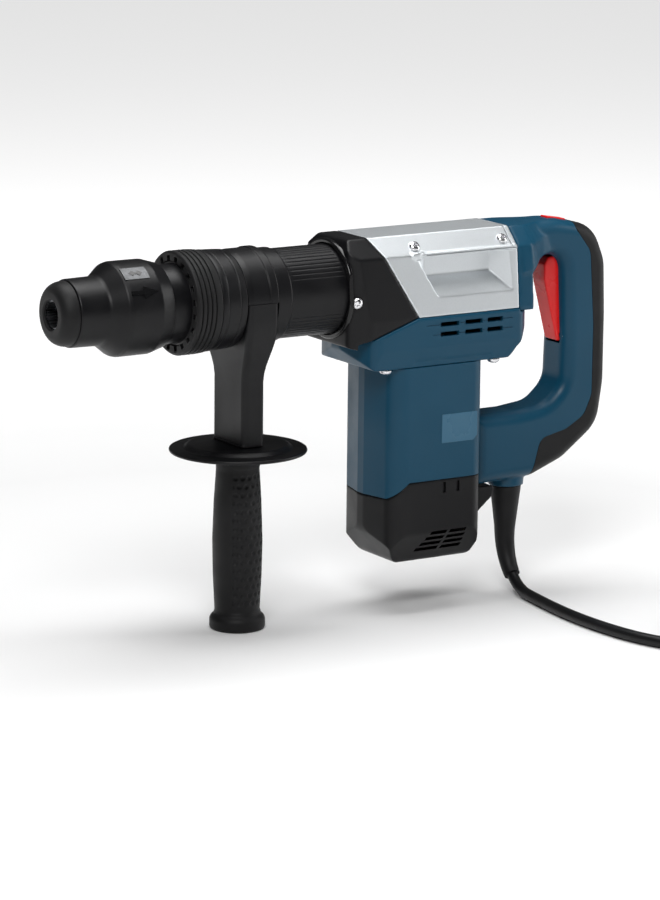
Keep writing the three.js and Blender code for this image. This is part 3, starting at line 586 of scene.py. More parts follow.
def make_cord():
    points = cord_route()
    heading = Vector((math.cos(PLUG_HEADING), math.sin(PLUG_HEADING), 0))
    points += [Vector((311.5, -160, 11)), PLUG_REAR - heading * 12, PLUG_REAR + heading * 1.5]
    curve = bpy.data.curves.new("cord", "CURVE")
    curve.dimensions = "3D"
    spline = curve.splines.new("NURBS")
    spline.points.add(len(points) - 1)
    for spot, point in zip(spline.points, points):
        spot.co = (*(point * MM), 1)
    spline.order_u = 4
    spline.use_endpoint_u = True
    spline.resolution_u = 4
    curve.bevel_depth = CORD_D / 2 * MM
    curve.bevel_resolution = 5
    curve.use_fill_caps = True
    cord = new_object("cord", curve)
    finish_piece(cord, CORD_SKIN, "housing", "rubber", "cord_lead", "cord_coil", "cord_tail")
    return cord


def along_plug(bm_or_obj, height=0.0):
    place = Matrix.Translation((PLUG_REAR + Vector((0, 0, height))) * MM)
    bm_or_obj.data.transform(place @ Matrix.Rotation(PLUG_HEADING, 4, "Z"))
    return bm_or_obj


def make_plug():
    profile = [(0.4, 0), (0.4, 6), (3, 6.6), (14, 8), (20, 15), (38, 17.5), (42, 17.3), (42, 0)]

    def ribs(along, angle, radius):
        if 2 < along < 15:
            return radius * (0.93 + 0.07 * math.cos(math.pi * along / 1.6))
        return radius

    body = lathe("plug", stepped(profile, 0.6), "X", ease=0, segments=64, dent=ribs)
    body.data.transform(Matrix.Diagonal((1, 1, 0.76, 1)))
    finish_piece(along_plug(body), RUBBER, "housing", "rubber", "plug_body")
    pins = []
    pin_profile = [(41, 0), (41, 2.4), (59.5, 2.4), (61, 1.5), (61, 0)]
    for name, side in (("right", -1), ("left", 1)):
        pin = lathe(f"plug_pin_{name}", pin_profile, "X", centre=(side * 9.5, 0), segments=32)
        finish_piece(along_plug(pin), ZINC, "housing", "screw_steel")
        pins.append(pin)
    return [body, *pins]


def make_tie():
    """A strap round the coil."""
    half_u, half_v = 2 * COIL_PITCH + 0.6, COIL_PITCH + 0.2
    section = rounded(rectangle(half_u, half_v, 4), 5)
    bm = bmesh.new()
    rings = []
    for across in (-4.5, 4.5):
        for grow in (0, 0.9):
            ring = []
            for p in section:
                scale = Vector((p.x + math.copysign(grow, p.x), p.y + math.copysign(grow, p.y)))
                ring.append(bm.verts.new((COIL_MID_R + scale.x, across, half_v + 0.35 + scale.y)))
            rings.append(ring)
    count = len(section)
    for first, second in ((0, 1), (1, 3), (3, 2), (2, 0)):
        for i in range(count):
            k = (i + 1) % count
            bm.faces.new((rings[first][i], rings[first][k], rings[second][k], rings[second][i]))
    tie = from_bmesh("cord_tie", bm)
    place = Matrix.Translation(Vector((COIL_X, COIL_Y, 0)) * MM)
    tie.data.transform(place @ Matrix.Rotation(math.radians(150), 4, "Z"))
    return finish_piece(smooth(tie), RUBBER, "housing", "rubber")


def make_boot():
    """The tapered strain relief, down the same line as the cord."""
    line = [(Vector((CORD_X, 0, z)), 11.8 - (80.4 - z) * 0.12) for z in (80.4, 74, 68, 62, 56, 50)]
    line += [(bend_point(math.radians(a)), 7.7 - 0.034 * a) for a in range(0, 51, 5)]
    bm = bmesh.new()
    rings = []
    sides = 40
    dense = []
    for (a, ra), (b, rb) in zip(line, line[1:]):
        dense += [(a.lerp(b, k / 5), ra + (rb - ra) * k / 5) for k in range(5)]
    dense.append(line[-1])
    for i, (point, radius) in enumerate(dense):
        along = (dense[min(i + 1, len(dense) - 1)][0] - dense[max(i - 1, 0)][0]).normalized()
        across = (Vector((1, 0, 0)) - along * along.x).normalized()
        third = along.cross(across)
        ring = []
        for j in range(sides):
            angle = 2 * math.pi * j / sides
            ring.append(bm.verts.new(point + (across * math.cos(angle) + third * math.sin(angle)) * radius))
        rings.append(ring)
    for first, second in zip(rings, rings[1:]):
        for j in range(sides):
            k = (j + 1) % sides
            bm.faces.new((first[j], first[k], second[k], second[j]))
    bm.faces.new(rings[0])
    bm.faces.new(reversed(rings[-1]))
    boot = smooth(from_bmesh("cord_boot_look", bm), 50)
    return finish_piece(boot, RUBBER, "housing", "rubber", "cord_boot")


cord = make_cord()
plug_parts = make_plug()
tie = make_tie()
make_boot()


# ---------- nose ----------
def make_dust_cap():
    turns = [math.radians(9 * k) for k in range(11)]
    nose = [(NOSE_X + 10.5 * (1 - math.cos(t)), 15 + 8 * math.sin(t)) for t in turns]
    inside = [(-222.2, 23.2), (-222.2, 13.5), (-231.7, 13.5), (-231.7, 10.5), (NOSE_X + 0.7, 10.5)]
    inside.append((NOSE_X, 11.4))
    cap = lathe_x("dust_cap_look", nose + inside, ease=0.35)
    finish_piece(cap, RUBBER, "chuck", "rubber", "dust_cap")


def make_sleeve():
    outside = [
        (-221.9, 23.6), (-221, 24.2), (-199.6, 24.6), (-198, 25.3), (-188.5, 33), (-185.4, 33.8),
        (-162, 33.7), (-151, 30.4),
    ]
    inside = [
        (-151, 28.9), (-171.4, 28.9), (-171.4, 25.3), (-190.1, 25.3), (-190.1, 23.3), (-199.3, 23.3),
        (-199.3, 16.4), (-221.9, 16.4),
    ]
    sleeve = lathe_x("locking_sleeve_look", outside + inside, ease=0.8, segments=160)
    return finish_piece(sleeve, BLACK, "sleeve", "black_plastic", "locking_sleeve")


def curved_patch(name, outline, radius, thick):
    """A thin plate wrapped on the sleeve, with its outline in (x, degrees above the near side)."""
    dense = []
    for first, second in zip(outline, outline[1:] + outline[:1]):
        dense += [Vector(first).lerp(Vector(second), k / 6) for k in range(6)]
    count = len(dense)
    middle = Vector((sum(p.x for p in dense) / count, sum(p.y for p in dense) / count))

    def on_sleeve(point, r):
        angle = math.radians(point.y)
        return (point.x, -r * math.cos(angle), AXIS_Z + r * math.sin(angle))

    bm = bmesh.new()
    rings = []
    for r in (radius - 0.6, radius + thick):
        ring = [bm.verts.new(on_sleeve(point, r)) for point in dense]
        hub = bm.verts.new(on_sleeve(middle, r))
        for i in range(count):
            bm.faces.new((ring[i], ring[(i + 1) % count], hub))
        rings.append(ring)
    for i in range(count):
        k = (i + 1) % count
        bm.faces.new((rings[0][i], rings[0][k], rings[1][k], rings[1][i]))
    return smooth(from_bmesh(name, bm), 30)


def make_sleeve_marks():
    """A metal plate with a plain double arrow, and one raised arrow below it."""
    plate = curved_patch("sleeve_plate", [(-187.5, 46), (-168, 46), (-168, 65), (-187.5, 65)], 33.9, 0.25)
    finish_piece(plate, PLATE_METAL, "sleeve", "cast_aluminium")
    double = [(-183, 55), (-180, 50.5), (-180, 53.5), (-175, 53.5), (-175, 50.5), (-172, 55)]
    double += [(-175, 59.5), (-175, 56.5), (-180, 56.5), (-180, 59.5)]
    finish_piece(curved_patch("plate_arrow", double, 33.95, 0.35), BLACK_GLOSS, "sleeve", "black_plastic")
    arrow = [(-186, 25), (-176, 25), (-176, 20), (-165, 27.5), (-176, 35), (-176, 30), (-186, 30)]
    finish_piece(curved_patch("sleeve_arrow", arrow, 33.7, 0.9), BLACK_GLOSS, "sleeve", "black_plastic")


RING_X = -137


def make_position_ring():
    profile = [(RING_X, 30.3), (RING_X, 35.6), (RING_X + 0.9, 36.9)]
    for i in range(4):
        groove = RING_X + 4.3 + i * 3.7
        profile += [(groove - 2.6, 37.4), (groove - 0.5, 37.2), (groove - 0.3, 35.7), (groove + 0.3, 35.7)]
        profile.append((groove + 0.5, 37.2))
    profile += [(-118.5, 37.0), (-116.2, 36.6), (-115.8, 36.2), (-115.8, 30.3)]
    ring = lathe_x("position_ring_look", profile, ease=0.25, segments=160)
    notches = bmesh.new()
    for k in range(20):
        notch = bmesh.ops.create_cube(notches, size=1)["verts"]
        turn = Matrix.Rotation(math.radians(18 * k + 9), 4, "X")
        place = Matrix.Translation((RING_X, 0, AXIS_Z)) @ turn @ Matrix.Translation((0, 0, 31.6))
        bmesh.ops.transform(notches, matrix=place @ Matrix.Diagonal((5.2, 4.2, 4.6, 1)), verts=notch)
    cut(ring, from_bmesh("notches", notches))
    return finish_piece(smooth(ring, 30), RUBBER, "turning_ring", "rubber", "position_ring")


def make_barrel():
    front = [
        (-152, 28.4), (-136, 28.4), (-136, 29.9), (-115.3, 29.9), (-115.3, 36), (-113.5, 36.4), (-111, 36.2),
        (-110.4, 35.6), (-109.8, 36.1), (-101, 35.8), (-100.4, 35.2), (-99.8, 35.7), (-95.2, 35.3),
        (-95.2, 31.3), (-68.8, 31.3), (-68.8, 34), (-58, 34), (-57, 32.6),
    ]
    ribbed = [(-57, 32.6), (-54, 32.6), (-53.5, 32.6), (-13, 32.6), (-12.5, 32.6), (-8.6, 32.6)]
    rear = [(-8.6, 30), (2, 30), (2, 24.4), (-152, 24.4)]

    def ribs(along, angle, radius):
        if -55 < along < -12 and radius > 32 and abs(math.sin(angle)) > 0.38:
            return radius - 0.3 * (math.cos(56 * angle) > 0.55)
        return radius

    barrel = lathe_x("barrel_look", front + ribbed[1:] + rear, ease=0.5, segments=336, dent=ribs)
    return finish_piece(barrel, BLACK, "housing", "black_plastic", "barrel_housing")


# ---------- side handle ----------
def stem_section(z):
    """Half width along X, half width along Y, at a height."""
    t = min(1.0, max(0.0, (z - 184) / 42))
    eased = t * t * (3 - 2 * t)
    return 8.8 + 3.7 * eased, 22.4 + 12.9 * eased


def make_side_handle():
    across = [
        (-12.5, 31.6), (-12.5, 34.6), (-8, 35.2), (5.5, 35.2), (6.2, 36), (11.8, 36), (12.5, 35.3),
        (12.5, 31.6),
    ]
    band = lathe_x("clamp_band_look", [(HANDLE_X + along, radius) for along, radius in across])
    common(band, box("upper", (-120, -60, AXIS_Z + 0.3), (-40, 60, 300)))
    finish_piece(smooth(band), BLACK, "clamp", "black_plastic", "clamp_band")
    sections = []
    for k in range(19):
        z = 138 + (AXIS_Z - 0.1 - 138) * k / 18
        half_x, half_y = stem_section(z)
        front = [(-half_x, half_y, 4.5), (-half_x, -half_y, 4.5)]
        rear = [(half_x, -half_y, 3.2), (half_x, half_y, 3.2)]
        sections.append((z, front + rear))
    on_handle = lambda u, v, w: (HANDLE_X + u, v, w)
    stem = loft("handle_stem_look", sections, on_handle)
    cut(stem, lathe_x("barrel_room", [(-110, 0), (-110, 31.6), (-50, 31.6), (-50, 0)], ease=0))
    finish_piece(smooth(stem, 40), BLACK, "clamp", "black_plastic", "handle_stem")
    collar = prism("stem_collar", rectangle(9.6, 21.8, 4), 137.3, 139.6, on_handle)
    finish_piece(soften(collar, 0.5), BLACK, "clamp", "black_plastic")


def make_guard():
    under = [(131.2, 4.8), (131.2, 20), (131.6, 47.6), (131.0, 49.2)]
    rim = [(132.0, 50), (133.4, 49.8), (133.9, 48.2), (134.0, 39.5)]
    profile = under + rim + [(136.6, 36.5), (137.0, 35), (137, 4.8)]
    disc = lathe("guard_disc_look", profile, "Z", centre=(HANDLE_X, 0), ease=0.9)
    return finish_piece(disc, BLACK, "clamp", "black_plastic", "guard_disc")


GRIP_OUTLINE = [
    (0, 0), (0, 18.6), (0.6, 19.8), (2, 20.3), (7.4, 20.3), (9.4, 19.4), (11.4, 17.3), (14, 16.6),
    (40, 17.9), (66, 18.4), (95, 17.4), (118, 15.9), (124, 16.2), (126, 17.3), (130.9, 17.5), (130.9, 4.6),
    (94, 4.6), (94, 0),
]
DIMPLE_ROW = 6.2
DIMPLE_COLUMNS = 20


def grip_dent(along, angle, radius):
    """Two dimpled panels, each between a smooth front strip and a smooth rear strip."""
    if not 14 < along < 120 or radius < 10:
        return radius
    panel = abs(math.degrees(angle) - 180)
    if panel < 44 or panel > 160:
        return radius
    if panel < 47 or not 18 < along < 117:
        return radius - 0.35
    row = (along - 18) / DIMPLE_ROW
    shift = 0.5 * (math.floor(row) % 2)
    column = angle / (2 * math.pi) * DIMPLE_COLUMNS + shift
    across = (column - math.floor(column) - 0.5) * 2 * math.pi * radius / DIMPLE_COLUMNS
    up = (row - math.floor(row) - 0.5) * DIMPLE_ROW
    distance = math.hypot(across, up)
    return radius - 0.35 - 0.75 * max(0.0, min(1.0, (1.9 - distance) / 0.7))


def make_grip():
    eased = [tuple(p) for p in fillet_profile(GRIP_OUTLINE, 0.8, False)]
    dense = stepped(eased, 0.62)
    grip = lathe("side_grip_look", dense, "Z", centre=(HANDLE_X, 0), ease=0, segments=208, dent=grip_dent)
    return finish_piece(smooth(grip, 60), RUBBER, "grip", "rubber", "side_grip")


# ---------- screws ----------
def lobed_screw(name, head, lobes=6):
    """A pan-head screw with a six-lobed recess, its head above z = 0."""
    segments = 60
    dome = [(0.8, head), (1.6, head * 0.93), (2.3, head * 0.78), (2.75, head * 0.58)]
    bm = bmesh.new()
    rings = []
    for z, radius in [(-2, 2), (0, 2), (0, head), *dome, (2.85, None), (1.2, None)]:
        ring = []
        for k in range(segments):
            angle = 2 * math.pi * k / segments
            r = radius or head * (0.40 + 0.06 * math.cos(lobes * angle))
            ring.append(bm.verts.new((r * math.cos(angle), r * math.sin(angle), z)))
        rings.append(ring)
    for first, second in zip(rings, rings[1:]):
        for k in range(segments):
            j = (k + 1) % segments
            bm.faces.new((first[k], first[j], second[j], second[k]))
    bm.faces.new(rings[0])
    bm.faces.new(rings[-1])
    return smooth(from_bmesh(name, bm), 40)


def place_screw(name, spot, direction, head, node=None):
    screw = lobed_screw(name, head)
    turn = Vector((0, 0, 1)).rotation_difference(Vector(direction)).to_matrix().to_4x4()
    screw.data.transform(Matrix.Translation(Vector(spot) * MM) @ turn)
    finish_piece(screw, ZINC, "housing", "screw_steel", *([node] if node else []))


FRONT_SCREW_X = 48.6
# Name, place and direction on the near side, head radius, and whether the CAD has a node for it.
SCREWS = [
    ("housing_screw_front", (FRONT_SCREW_X, -27.5, 273.2), (0, -0.71, 0.71), 4.4, True),
    ("housing_screw_rear", (125, -27.5, 273.2), (0, -0.71, 0.71), 4.4, True),
    ("cover_screw", (-3.4, -33.3, 237.2), (-0.4, -0.917, 0), 4.2, True),
    ("flange_screw_front", (23.1, -31.5, 185.4), (0, 0, -1), 4.6, False),
    ("flange_screw_rear", (117, -31.5, 185.4), (0, 0, -1), 4.6, False),
]


def make_screws():
    for name, spot, direction, head, in_cad in SCREWS:
        for side in (-1, 1):
            suffix = "right" if side < 0 else "left"
            there = (spot[0], -side * spot[1], spot[2])
            facing = (direction[0], -side * direction[1], direction[2])
            node = f"{name}_right" if in_cad and side < 0 else None
            place_screw(f"{name}_{suffix}_look", there, facing, head, node)


# ---------- housings ----------
COVER_TOP_X = 12
COVER_LOW_X = 47.7
COVER_FOOT_Z = 206
FRONT_X = -8.3
GEARBOX_FRONT_X = -0.5
GEARBOX_REAR_X = 145.8
CHIN_X = GEARBOX_FRONT_X - 0.7


def cover_back(z, offset=0):
    """Where the slanted joint between the nose cover and the gear housing is, at a height."""
    return COVER_TOP_X + (BODY_TOP - z) * (COVER_LOW_X - COVER_TOP_X) / (BODY_TOP - SPLIT_Z) + offset


def make_gear_cover():
    side = [
        (FRONT_X, 204, 2.5), (CHIN_X, 202.2), (CHIN_X, COVER_FOOT_Z), (COVER_LOW_X, SPLIT_Z),
        (COVER_TOP_X, BODY_TOP), (-4, BODY_TOP, 4), (FRONT_X, 273, 5),
    ]
    plan = both_sides_plan([(FRONT_X, -29, 7), (6, -BODY_HALF, 12), (60, -BODY_HALF)])
    cover = prism("gear_cover_look", side, -60, 60, SIDE)
    common(cover, prism("section", upper_section(0), -20, 60, END), prism("plan", plan, 180, 300, PLAN))
    channel = lambda: rod("channel", (-3.9, -36.3, 241), (-3.9, -36.3, 269), 4.0)
    cut(cover, *on_both_sides(channel))
    melted(cover, 0.8, 6)
    hole = lambda: rod("hole", (0, -25.5, 237.2), (-6, -39.3, 237.2), 2.6)
    room_plan = both_sides_plan([(-3.3, -27), (9, -34), (80, -34)])
    cut(
        cover,
        common(prism("room", upper_section(3.4), -3.3, 80, END), prism("plan", room_plan, 180, 300, PLAN)),
        lathe_x("barrel_room", [(-20, 0), (-20, 30.3), (0, 30.3), (0, 0)], ease=0),
        *on_both_sides(hole),
    )
    finish_piece(smooth(cover, 50), BLACK, "housing", "black_plastic", "gear_cover")
    ring = [(-9.2, 32.9), (-10.4, 33.6), (-10.4, 35.8), (-9.2, 36.8), (-7.2, 36.9), (-7.2, 32.9)]
    collar = lathe_x("cover_collar", ring)
    common(collar, prism("section", upper_section(0.4), -20, 60, END))
    finish_piece(smooth(collar), BLACK_GLOSS, "housing", "black_plastic")


def side_pocket():
    """The pocket under the lid, with a sloping floor and a slanted rear wall."""
    top, foot, depth = 266.4, 235, -23.5
    view = [(cover_back(top, 26), top), (cover_back(foot, 26), foot, 1.5), (131, foot, 1.5), (131, top)]
    section = [(depth, top), (depth, 250.5), (-BODY_HALF, foot), (-60, foot), (-60, top)]
    plan = [(0, depth), (117, depth), (132, -BODY_HALF), (132, -60), (0, -60)]
    pocket = prism("pocket", view, -60, 60, SIDE)
    return common(pocket, prism("depth", section, 0, 200, END), prism("plan", plan, 200, 300, PLAN))


def make_gear_housing():
    front = 0.4
    rear = BODY_REAR_X - 0.3
    side = [(cover_back(BODY_TOP, front), BODY_TOP), (cover_back(SPLIT_Z, front), SPLIT_Z)]
    side += [(rear, SPLIT_Z), (rear, BODY_TOP)]
    housing = prism("gear_housing_look", side, -60, 60, SIDE)
    common(housing, prism("section", upper_section(0), 0, 150, END))
    cut(housing, *on_both_sides(side_pocket))
    lid_edge = [(-30, 266.4), (-34.5, 266.4), (-34.5, 268.2), (-33.2, 269.4), (-30, 269.4)]
    ledge = lambda: prism("ledge", lid_edge, 43.5, 134.5, END)
    post = lambda: rod("post", (51, -28.4, 245), (51, -28.4, 267), 4.6)
    boss = lambda: rod("boss", (FRONT_SCREW_X, -20, 265.7), (FRONT_SCREW_X, -27.4, 273.1), 6.6)
    rear_boss = lambda: rod("boss", (125, -20, 265.7), (125, -27.4, 273.1), 6.6)
    collar = lambda: rod("collar", (FRONT_SCREW_X, -28.2, 264.6), (FRONT_SCREW_X, -28.2, 270), 6.6)
    for make in (ledge, post, boss, rear_boss, collar):
        merged(housing, *on_both_sides(make))
    room = prism("room", upper_section(3.2), -10, 140, END)
    wide = [(0, 278), (cover_back(278, 22), 278), (cover_back(200, 22), 200), (0, 200)]
    common(room, prism("wide", wide, -60, 60, SIDE))
    half_room = [(34, 200), (34, 230), (20, 247), (20, 268), (15, 277.5)]
    narrow = half_room + [(-y, z) for y, z in reversed(half_room)]
    melted(housing, 0.7, 2)
    cut(housing, room, prism("narrow", narrow, 0, 132, END))
    cut(housing, *on_both_sides(lambda: box("lid_end", (130.8, -60, 268.4), (131.3, -18, 290))))
    cut(housing, *on_both_sides(lambda: box("lid_seam", (55.6, -60, 267.1), (134, -33.2, 267.7))))
    for x in (FRONT_SCREW_X, 125):
        cut(housing, *on_both_sides(lambda: rod("hole", (x, -20, 265.7), (x, -32, 277.7), 2.3)))
    finish_piece(smooth(housing, 50), ALUMINIUM, "housing", "cast_aluminium", "gear_housing")


def make_lower_gearbox():
    half = 38.2
    rear = GEARBOX_REAR_X
    side = [
        (GEARBOX_FRONT_X + 11, 186, 5), (127.5, 186, 3), (rear - 0.5, 206, 5), (rear, 219.6),
        (BODY_REAR_X, 219.6), (BODY_REAR_X, SPLIT_Z - 0.3), (COVER_LOW_X, SPLIT_Z - 0.3),
        (GEARBOX_FRONT_X, COVER_FOOT_Z - 0.3), (GEARBOX_FRONT_X, 199, 5),
    ]
    plan = both_sides_plan([(GEARBOX_FRONT_X, -5, 4), (10, -half, 9), (rear - 8, -half, 7), (rear, -30, 4)])
    section = [(-half, 230), (-half, 200), (-36.4, 184), (36.4, 184), (half, 200), (half, 230)]
    shell = prism("lower_gearbox_look", side, -60, 60, SIDE)
    common(shell, prism("plan", plan, 180, 230, PLAN), prism("section", section, -20, 160, END))
    step = lambda: prism("step", [(38, 180), (45, 191), (112, 191), (112, 180)], 36.5, 60, FLANK)
    cut(shell, *on_both_sides(step))
    melted(shell, 0.8, 4)
    room_plan = both_sides_plan([(2.2, -8), (12, -34.8), (rear - 7, -34.8), (rear - 3.5, -29)])
    room = prism("room", room_plan, 180, 240, PLAN)
    room_side = [
        (1.8, 200.9), (11.8, 189.1), (125.9, 189.1), (rear - 3.5, 207.4), (rear - 3.5, 240), (1.8, 240),
    ]
    common(room, prism("room_side", room_side, -60, 60, SIDE))
    way = [(26, -32, 8), (108, -32, 8), (108, 32, 8), (26, 32, 8)]
    cut(shell, room, prism("way", way, 180, 200, PLAN))
    for z in (216.2, 209):
        for x, wide in ((66, 16), (87.5, 15), (107, 13.5)):
            cut(shell, *on_both_sides(lambda: box("vent", (x, -60, z - 1.7), (x + wide, -30, z + 1.7))))
        start = 54 + (216 - z) * 0.8
        cut(shell, *on_both_sides(lambda: box("line", (start, -60, z - 0.25), (129, -37.6, z + 0.25))))
    finish_piece(smooth(shell, 50), BLUE, "housing", "blue_plastic", "lower_gearbox")


def motor_plan(inset):
    """The motor's plan, its front and its corners drawn in from the casing by the inset."""
    x, y = MOTOR_HALF_X - inset, MOTOR_HALF_Y - inset
    front = [(-x, -4, 3), (7.5 - x, -y, 15), (x - 6, -y, 11), (x, -11, 5)]
    return [(MOTOR_X + u, v, *radius) for u, v, *radius in both_sides_plan(front)]


def seam_line(offset, top):
    """The motor casing above its seam with the cap."""
    low, high = 88 + offset, 100 + offset
    return [(10, low), (28, low), (42, high), (130, high), (130, top), (10, top)]


def make_motor():
    column = prism("motor_housing_look", motor_plan(0), 80, 185.8, PLAN, steps=10)
    common(column, prism("seam", seam_line(0.3, 200), -60, 60, SIDE))
    soften(column, 0.5, 2, 40)
    cut(column, prism("inside", motor_plan(3), 70, 210, PLAN))
    finish_piece(smooth(column, 32), BLUE, "housing", "blue_plastic", "motor_housing")
    corners = [(69.5, 127.4), (97, 127.4), (100.5, 131), (100.5, 148.8), (69.5, 148.8)]
    for side in (-1, 1):
        plate = prism("plate", [(x, z, 0.8) for x, z in corners], MOTOR_HALF_Y - 0.3, MOTOR_HALF_Y + 0.25,
                      lambda u, v, w: (u, side * w, v))
        plate.name = f"side_plate_{'left' if side > 0 else 'right'}"
        finish_piece(soften(plate, 0.12, 2), PLATE, "housing", "blue_plastic")


def make_motor_cap():
    rear = MOTOR_REAR_X
    side = [
        (38, 37, 12), (104, 37, 5), (rear, 60, 8), (rear, 100), (42, 100), (28, 88), (22.5, 88),
        (22.5, 62, 14),
    ]
    section = [
        (-22, 37, 8), (22, 37, 8), (MOTOR_HALF_Y, 61, 6), (MOTOR_HALF_Y, 110), (-MOTOR_HALF_Y, 110),
        (-MOTOR_HALF_Y, 61, 6),
    ]
    cap = prism("motor_cap_look", side, -60, 60, SIDE)
    common(cap, prism("plan", motor_plan(0), 30, 110, PLAN, steps=10), prism("section", section, 0, 140, END))
    lug = [(rear - 2, 84.4, 1), (133, 84.4, 2), (131, 76, 3), (113, 61, 3), (rear - 2, 61, 1)]
    merged(cap, prism("lug", lug, -13, 13, SIDE))
    melted(cap, 0.8, 4)
    inner_side = [(41, 41), (101, 41), (rear - 3, 62), (rear - 3, 120), (25.5, 120), (25.5, 65)]
    inner = prism("inner", inner_side, -60, 60, SIDE)
    inner_section = [(-20, 41), (20, 41), (33.5, 63), (33.5, 120), (-33.5, 120), (-33.5, 63)]
    common(inner, prism("plan", motor_plan(3), 30, 120, PLAN), prism("section", inner_section, 0, 140, END))
    cut(cap, inner)
    for row in range(4):
        z = 60.5 - 4.4 * row
        for low, high in ((61 - 3 * row, 75 - row), (77.5 - row, 92)):
            slot = [(low, z - 1.35), (high, z - 1.35), (high + 1, z + 1.35), (low + 1, z + 1.35)]
            cut(cap, *on_both_sides(lambda: prism("slot", slot, 14, 46, FLANK)))
    for x in (72.5, 84.5):
        cut(cap, *on_both_sides(lambda: box("notch", (x - 1.3, -40, 90), (x + 1.3, -34.8, 98))))
    finish_piece(smooth(cap, 50), BLACK, "housing", "black_plastic", "motor_cap")


def make_housings():
    make_gear_cover()
    make_gear_housing()
    make_lower_gearbox()
    make_motor()
    make_motor_cap()


# ---------- rear handle ----------
HANDLE_SIDE = [
    (BODY_REAR_X + 0.3, 281), (183, 281.5, 60), (218, 275, 26), (229.5, 248, 34), (231, 208, 60),
    (231, 155, 60), (226, 122, 28), (194, 98.5, 24), (165, 87.5, 30), (MOTOR_REAR_X + 0.6, 85.8),
    (MOTOR_REAR_X + 0.6, 138.8), (150, 139, 30), (176, 142, 22), (191.5, 156, 18), (192.5, 190, 20),
    (189, 254.8, 12), (BODY_REAR_X + 0.3, 256),
]
ROUND = 9.5


def rounded_form(name, corners, half, round_off, levels=8):
    """An outline made thick, with a quarter-round along each rim."""
    points = rounded(corners, 7)
    count = len(points)
    normals = []
    for i in range(count):
        before = (points[i] - points[i - 1])
        after = (points[(i + 1) % count] - points[i])
        before = before if before.length > 1e-6 else after
        after = after if after.length > 1e-6 else before
        n1 = Vector((before.y, -before.x)).normalized()
        n2 = Vector((after.y, -after.x)).normalized()
        total = (n1 + n2).normalized()
        normals.append(total / max(0.5, total.dot(n1)))
    turning = sum(points[i - 1].x * points[i].y - points[i].x * points[i - 1].y for i in range(count))
    inward = 1 if turning < 0 else -1
    bm = bmesh.new()
    rings = []
    steps = [math.radians(90 * k / levels) for k in range(levels + 1)]
    stations = [(-(half - round_off + round_off * math.cos(t)), round_off * (1 - math.sin(t))) for t in steps]
    stations += [(-depth, inset) for depth, inset in reversed(stations)]
    for depth, inset in stations:
        rings.append([bm.verts.new(SIDE(*(p + n * inward * inset), depth)) for p, n in zip(points, normals)])
    for first, second in zip(rings, rings[1:]):
        for i in range(count):
            k = (i + 1) % count
            bm.faces.new((first[i], first[k], second[k], second[i]))
    bm.faces.new(rings[0])
    bm.faces.new(reversed(rings[-1]))
    bmesh.ops.remove_doubles(bm, verts=bm.verts, dist=0.001)
    return from_bmesh(name, bm)


def upper_section(inset):
    """The section of the gear housing: straight sides, slanted shoulders and a flat top."""
    half = BODY_HALF - inset
    top = BODY_TOP - inset
    right = [(half, 180), (half, SPLIT_Z), (half - 4, 268), (20 - inset * 0.4, top)]
    left = [(-y, z) for y, z in reversed(right)]
    return left[-1:] + right + left[:-1]


def root_section(half, low, shoulder, top, radius):
    """A section of the handle's foot: chamfered above like the gear housing."""
    side, crown = half * 0.9, half * 0.54
    right = [(half, low, radius), (side, shoulder, radius), (crown, top, radius)]
    left = [(-y, z, r) for y, z, r in reversed(right)]
    return left[-1:] + right + left[:-1]


def handle_root():
    """The handle's foot on the gear housing, which narrows to the top arm."""
    foot = prism("root", upper_section(0.4), BODY_REAR_X + 0.3, 149.4, END)
    common(foot, box("above", (130, -60, 220), (160, 60, 300)))
    stations = [
        (140, 36.6, 246, 268, 281.0), (149, 36.4, 246.5, 268, 281.0), (154, 33.4, 250, 268.4, 281.1),
        (160, 28.4, 254, 269, 281.2), (167, 23, 256, 270, 281.3), (176, 18.4, 257, 271, 281.4),
        (188, 15.6, 258.5, 272, 281.2),
    ]
    taper = loft("taper", [(x, root_section(*sizes, 2.6)) for x, *sizes in stations], END)
    return merged(foot, taper)


def grip_region(offset):
    """Everything behind the soft grip's border, moved forward by the offset."""
    border = [
        (200, 300), (200, 273, 8), (213, 256, 14), (217, 200, 60), (217, 146, 20), (210, 131, 14),
        (194, 122, 14), (171, 117, 10), (161, 80),
    ]
    moved = [(x - offset, z, *radius) for x, z, *radius in border]
    return prism("region", moved + [(250, 80), (250, 300)], -40, 40, SIDE)


def make_handle():
    form = rounded_form("handle_look", HANDLE_SIDE, GRIP_HALF, ROUND)
    skin = new_object("soft_grip_look", form.data.copy())
    common(skin, grip_region(0))
    finish_piece(smooth(skin, 40), RUBBER, "housing", "rubber", "soft_grip")
    socket = lathe("socket", [(81, 0), (81, 13.5), (96, 13.5), (96, 0)], "Z", centre=(CORD_X, 0), ease=0)
    merged(form, handle_root(), socket)
    melted(form, 1.0, 8)
    cut(
        form,
        grip_region(0.4),
        box("trigger_slot", (168, -8.9, 186), (206, 8.9, 256)),
        box("button_slot", (181.2, -5.2, 268), (198.8, 5.2, 300)),
        box("seam", (130, -0.15, 279.6), (204, 0.15, 290)),
    )
    finish_piece(smooth(form, 50), BLUE, "housing", "blue_plastic", "handle_shell_left", "handle_shell_right")
    trigger = melted(copied("trigger"), 0.7, 5)
    finish_piece(smooth(trigger, 50), RED, "trigger_key", "red_plastic", "trigger")
    button = soften(copied("lock_button"), 0.8)
    shrink = Matrix.Diagonal((0.77, 0.84, 1, 1))
    middle = Matrix.Translation((0.19, 0, 0))
    button.data.transform(middle @ shrink @ middle.inverted())
    finish_piece(button, RED, "lock_key", "red_plastic", "lock_button")


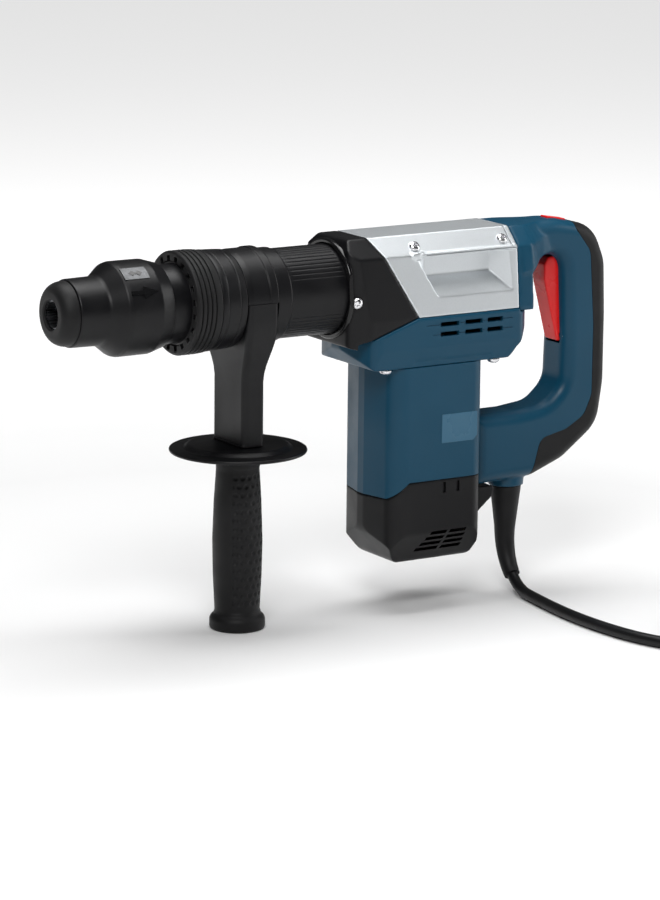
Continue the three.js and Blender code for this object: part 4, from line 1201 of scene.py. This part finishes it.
# ---------- studio ----------
def area_light(name, place, aim, size, watts, colour=(1, 1, 1)):
    data = bpy.data.lights.new(name, "AREA")
    data.shape = "RECTANGLE"
    data.size, data.size_y = size
    data.energy = watts
    data.color = colour
    light = bpy.data.objects.new(name, data)
    bpy.context.scene.collection.objects.link(light)
    direction = Vector(aim) - Vector(place)
    light.matrix_world = Matrix.Translation(place) @ direction.to_track_quat("-Z", "Y").to_matrix().to_4x4()


def make_studio():
    floor = new_object("floor", bpy.data.meshes.new("floor"))
    bm = bmesh.new()
    bmesh.ops.create_grid(bm, x_segments=1, y_segments=1, size=20)
    bm.to_mesh(floor.data)
    bm.free()
    pale = Nodes("pale_floor", (0.86, 0.86, 0.86), 0.75)
    pale.colour(pale.mix(pale.noise(3, 2), (0.85, 0.85, 0.85), (0.87, 0.87, 0.87)))
    away = pale.add("ShaderNodeVectorMath", operation="LENGTH")
    pale.link(pale.add("ShaderNodeTexCoord").outputs["Object"], away.inputs[0])
    glow = pale.span(away.outputs["Value"], 0.0, 0.7, 0.5, 1.6)
    pale.link(glow, pale.shader.inputs["Emission Strength"])
    pale.shader.inputs["Emission Color"].default_value = (1, 1, 1, 1)
    floor.data.materials.append(pale.material)
    world = bpy.data.worlds.new("studio")
    world.use_nodes = True
    tree = world.node_tree
    place = tree.nodes.new("ShaderNodeTexCoord")
    facing = tree.nodes.new("ShaderNodeVectorMath")
    facing.operation = "DOT_PRODUCT"
    facing.inputs[1].default_value = (0.42, 0.68, 0.6)
    tree.links.new(place.outputs["Generated"], facing.inputs[0])
    fade = tree.nodes.new("ShaderNodeMapRange")
    fade.inputs["From Min"].default_value = -0.2
    fade.inputs["From Max"].default_value = 0.75
    fade.inputs["To Min"].default_value = 0.22
    fade.inputs["To Max"].default_value = 1.0
    tree.links.new(facing.outputs["Value"], fade.inputs["Value"])
    tree.links.new(fade.outputs["Result"], tree.nodes["Background"].inputs["Strength"])
    bpy.context.scene.world = world
    area_light("key", (-1.1, -1.5, 1.9), (0, 0, 0.15), (0.9, 0.9), 34)
    area_light("top", (0.1, 0.2, 1.9), (0.05, 0, 0.2), (1.6, 1.2), 36)
    area_light("right", (1.8, -0.7, 0.8), (0.1, 0, 0.15), (0.5, 1.4), 12)
    bpy.context.scene.view_settings.view_transform = "Standard"


dress_cad_nodes()
make_dust_cap()
make_sleeve()
make_sleeve_marks()
make_position_ring()
make_barrel()
make_side_handle()
make_guard()
make_grip()
make_screws()
make_housings()
make_handle()
make_studio()
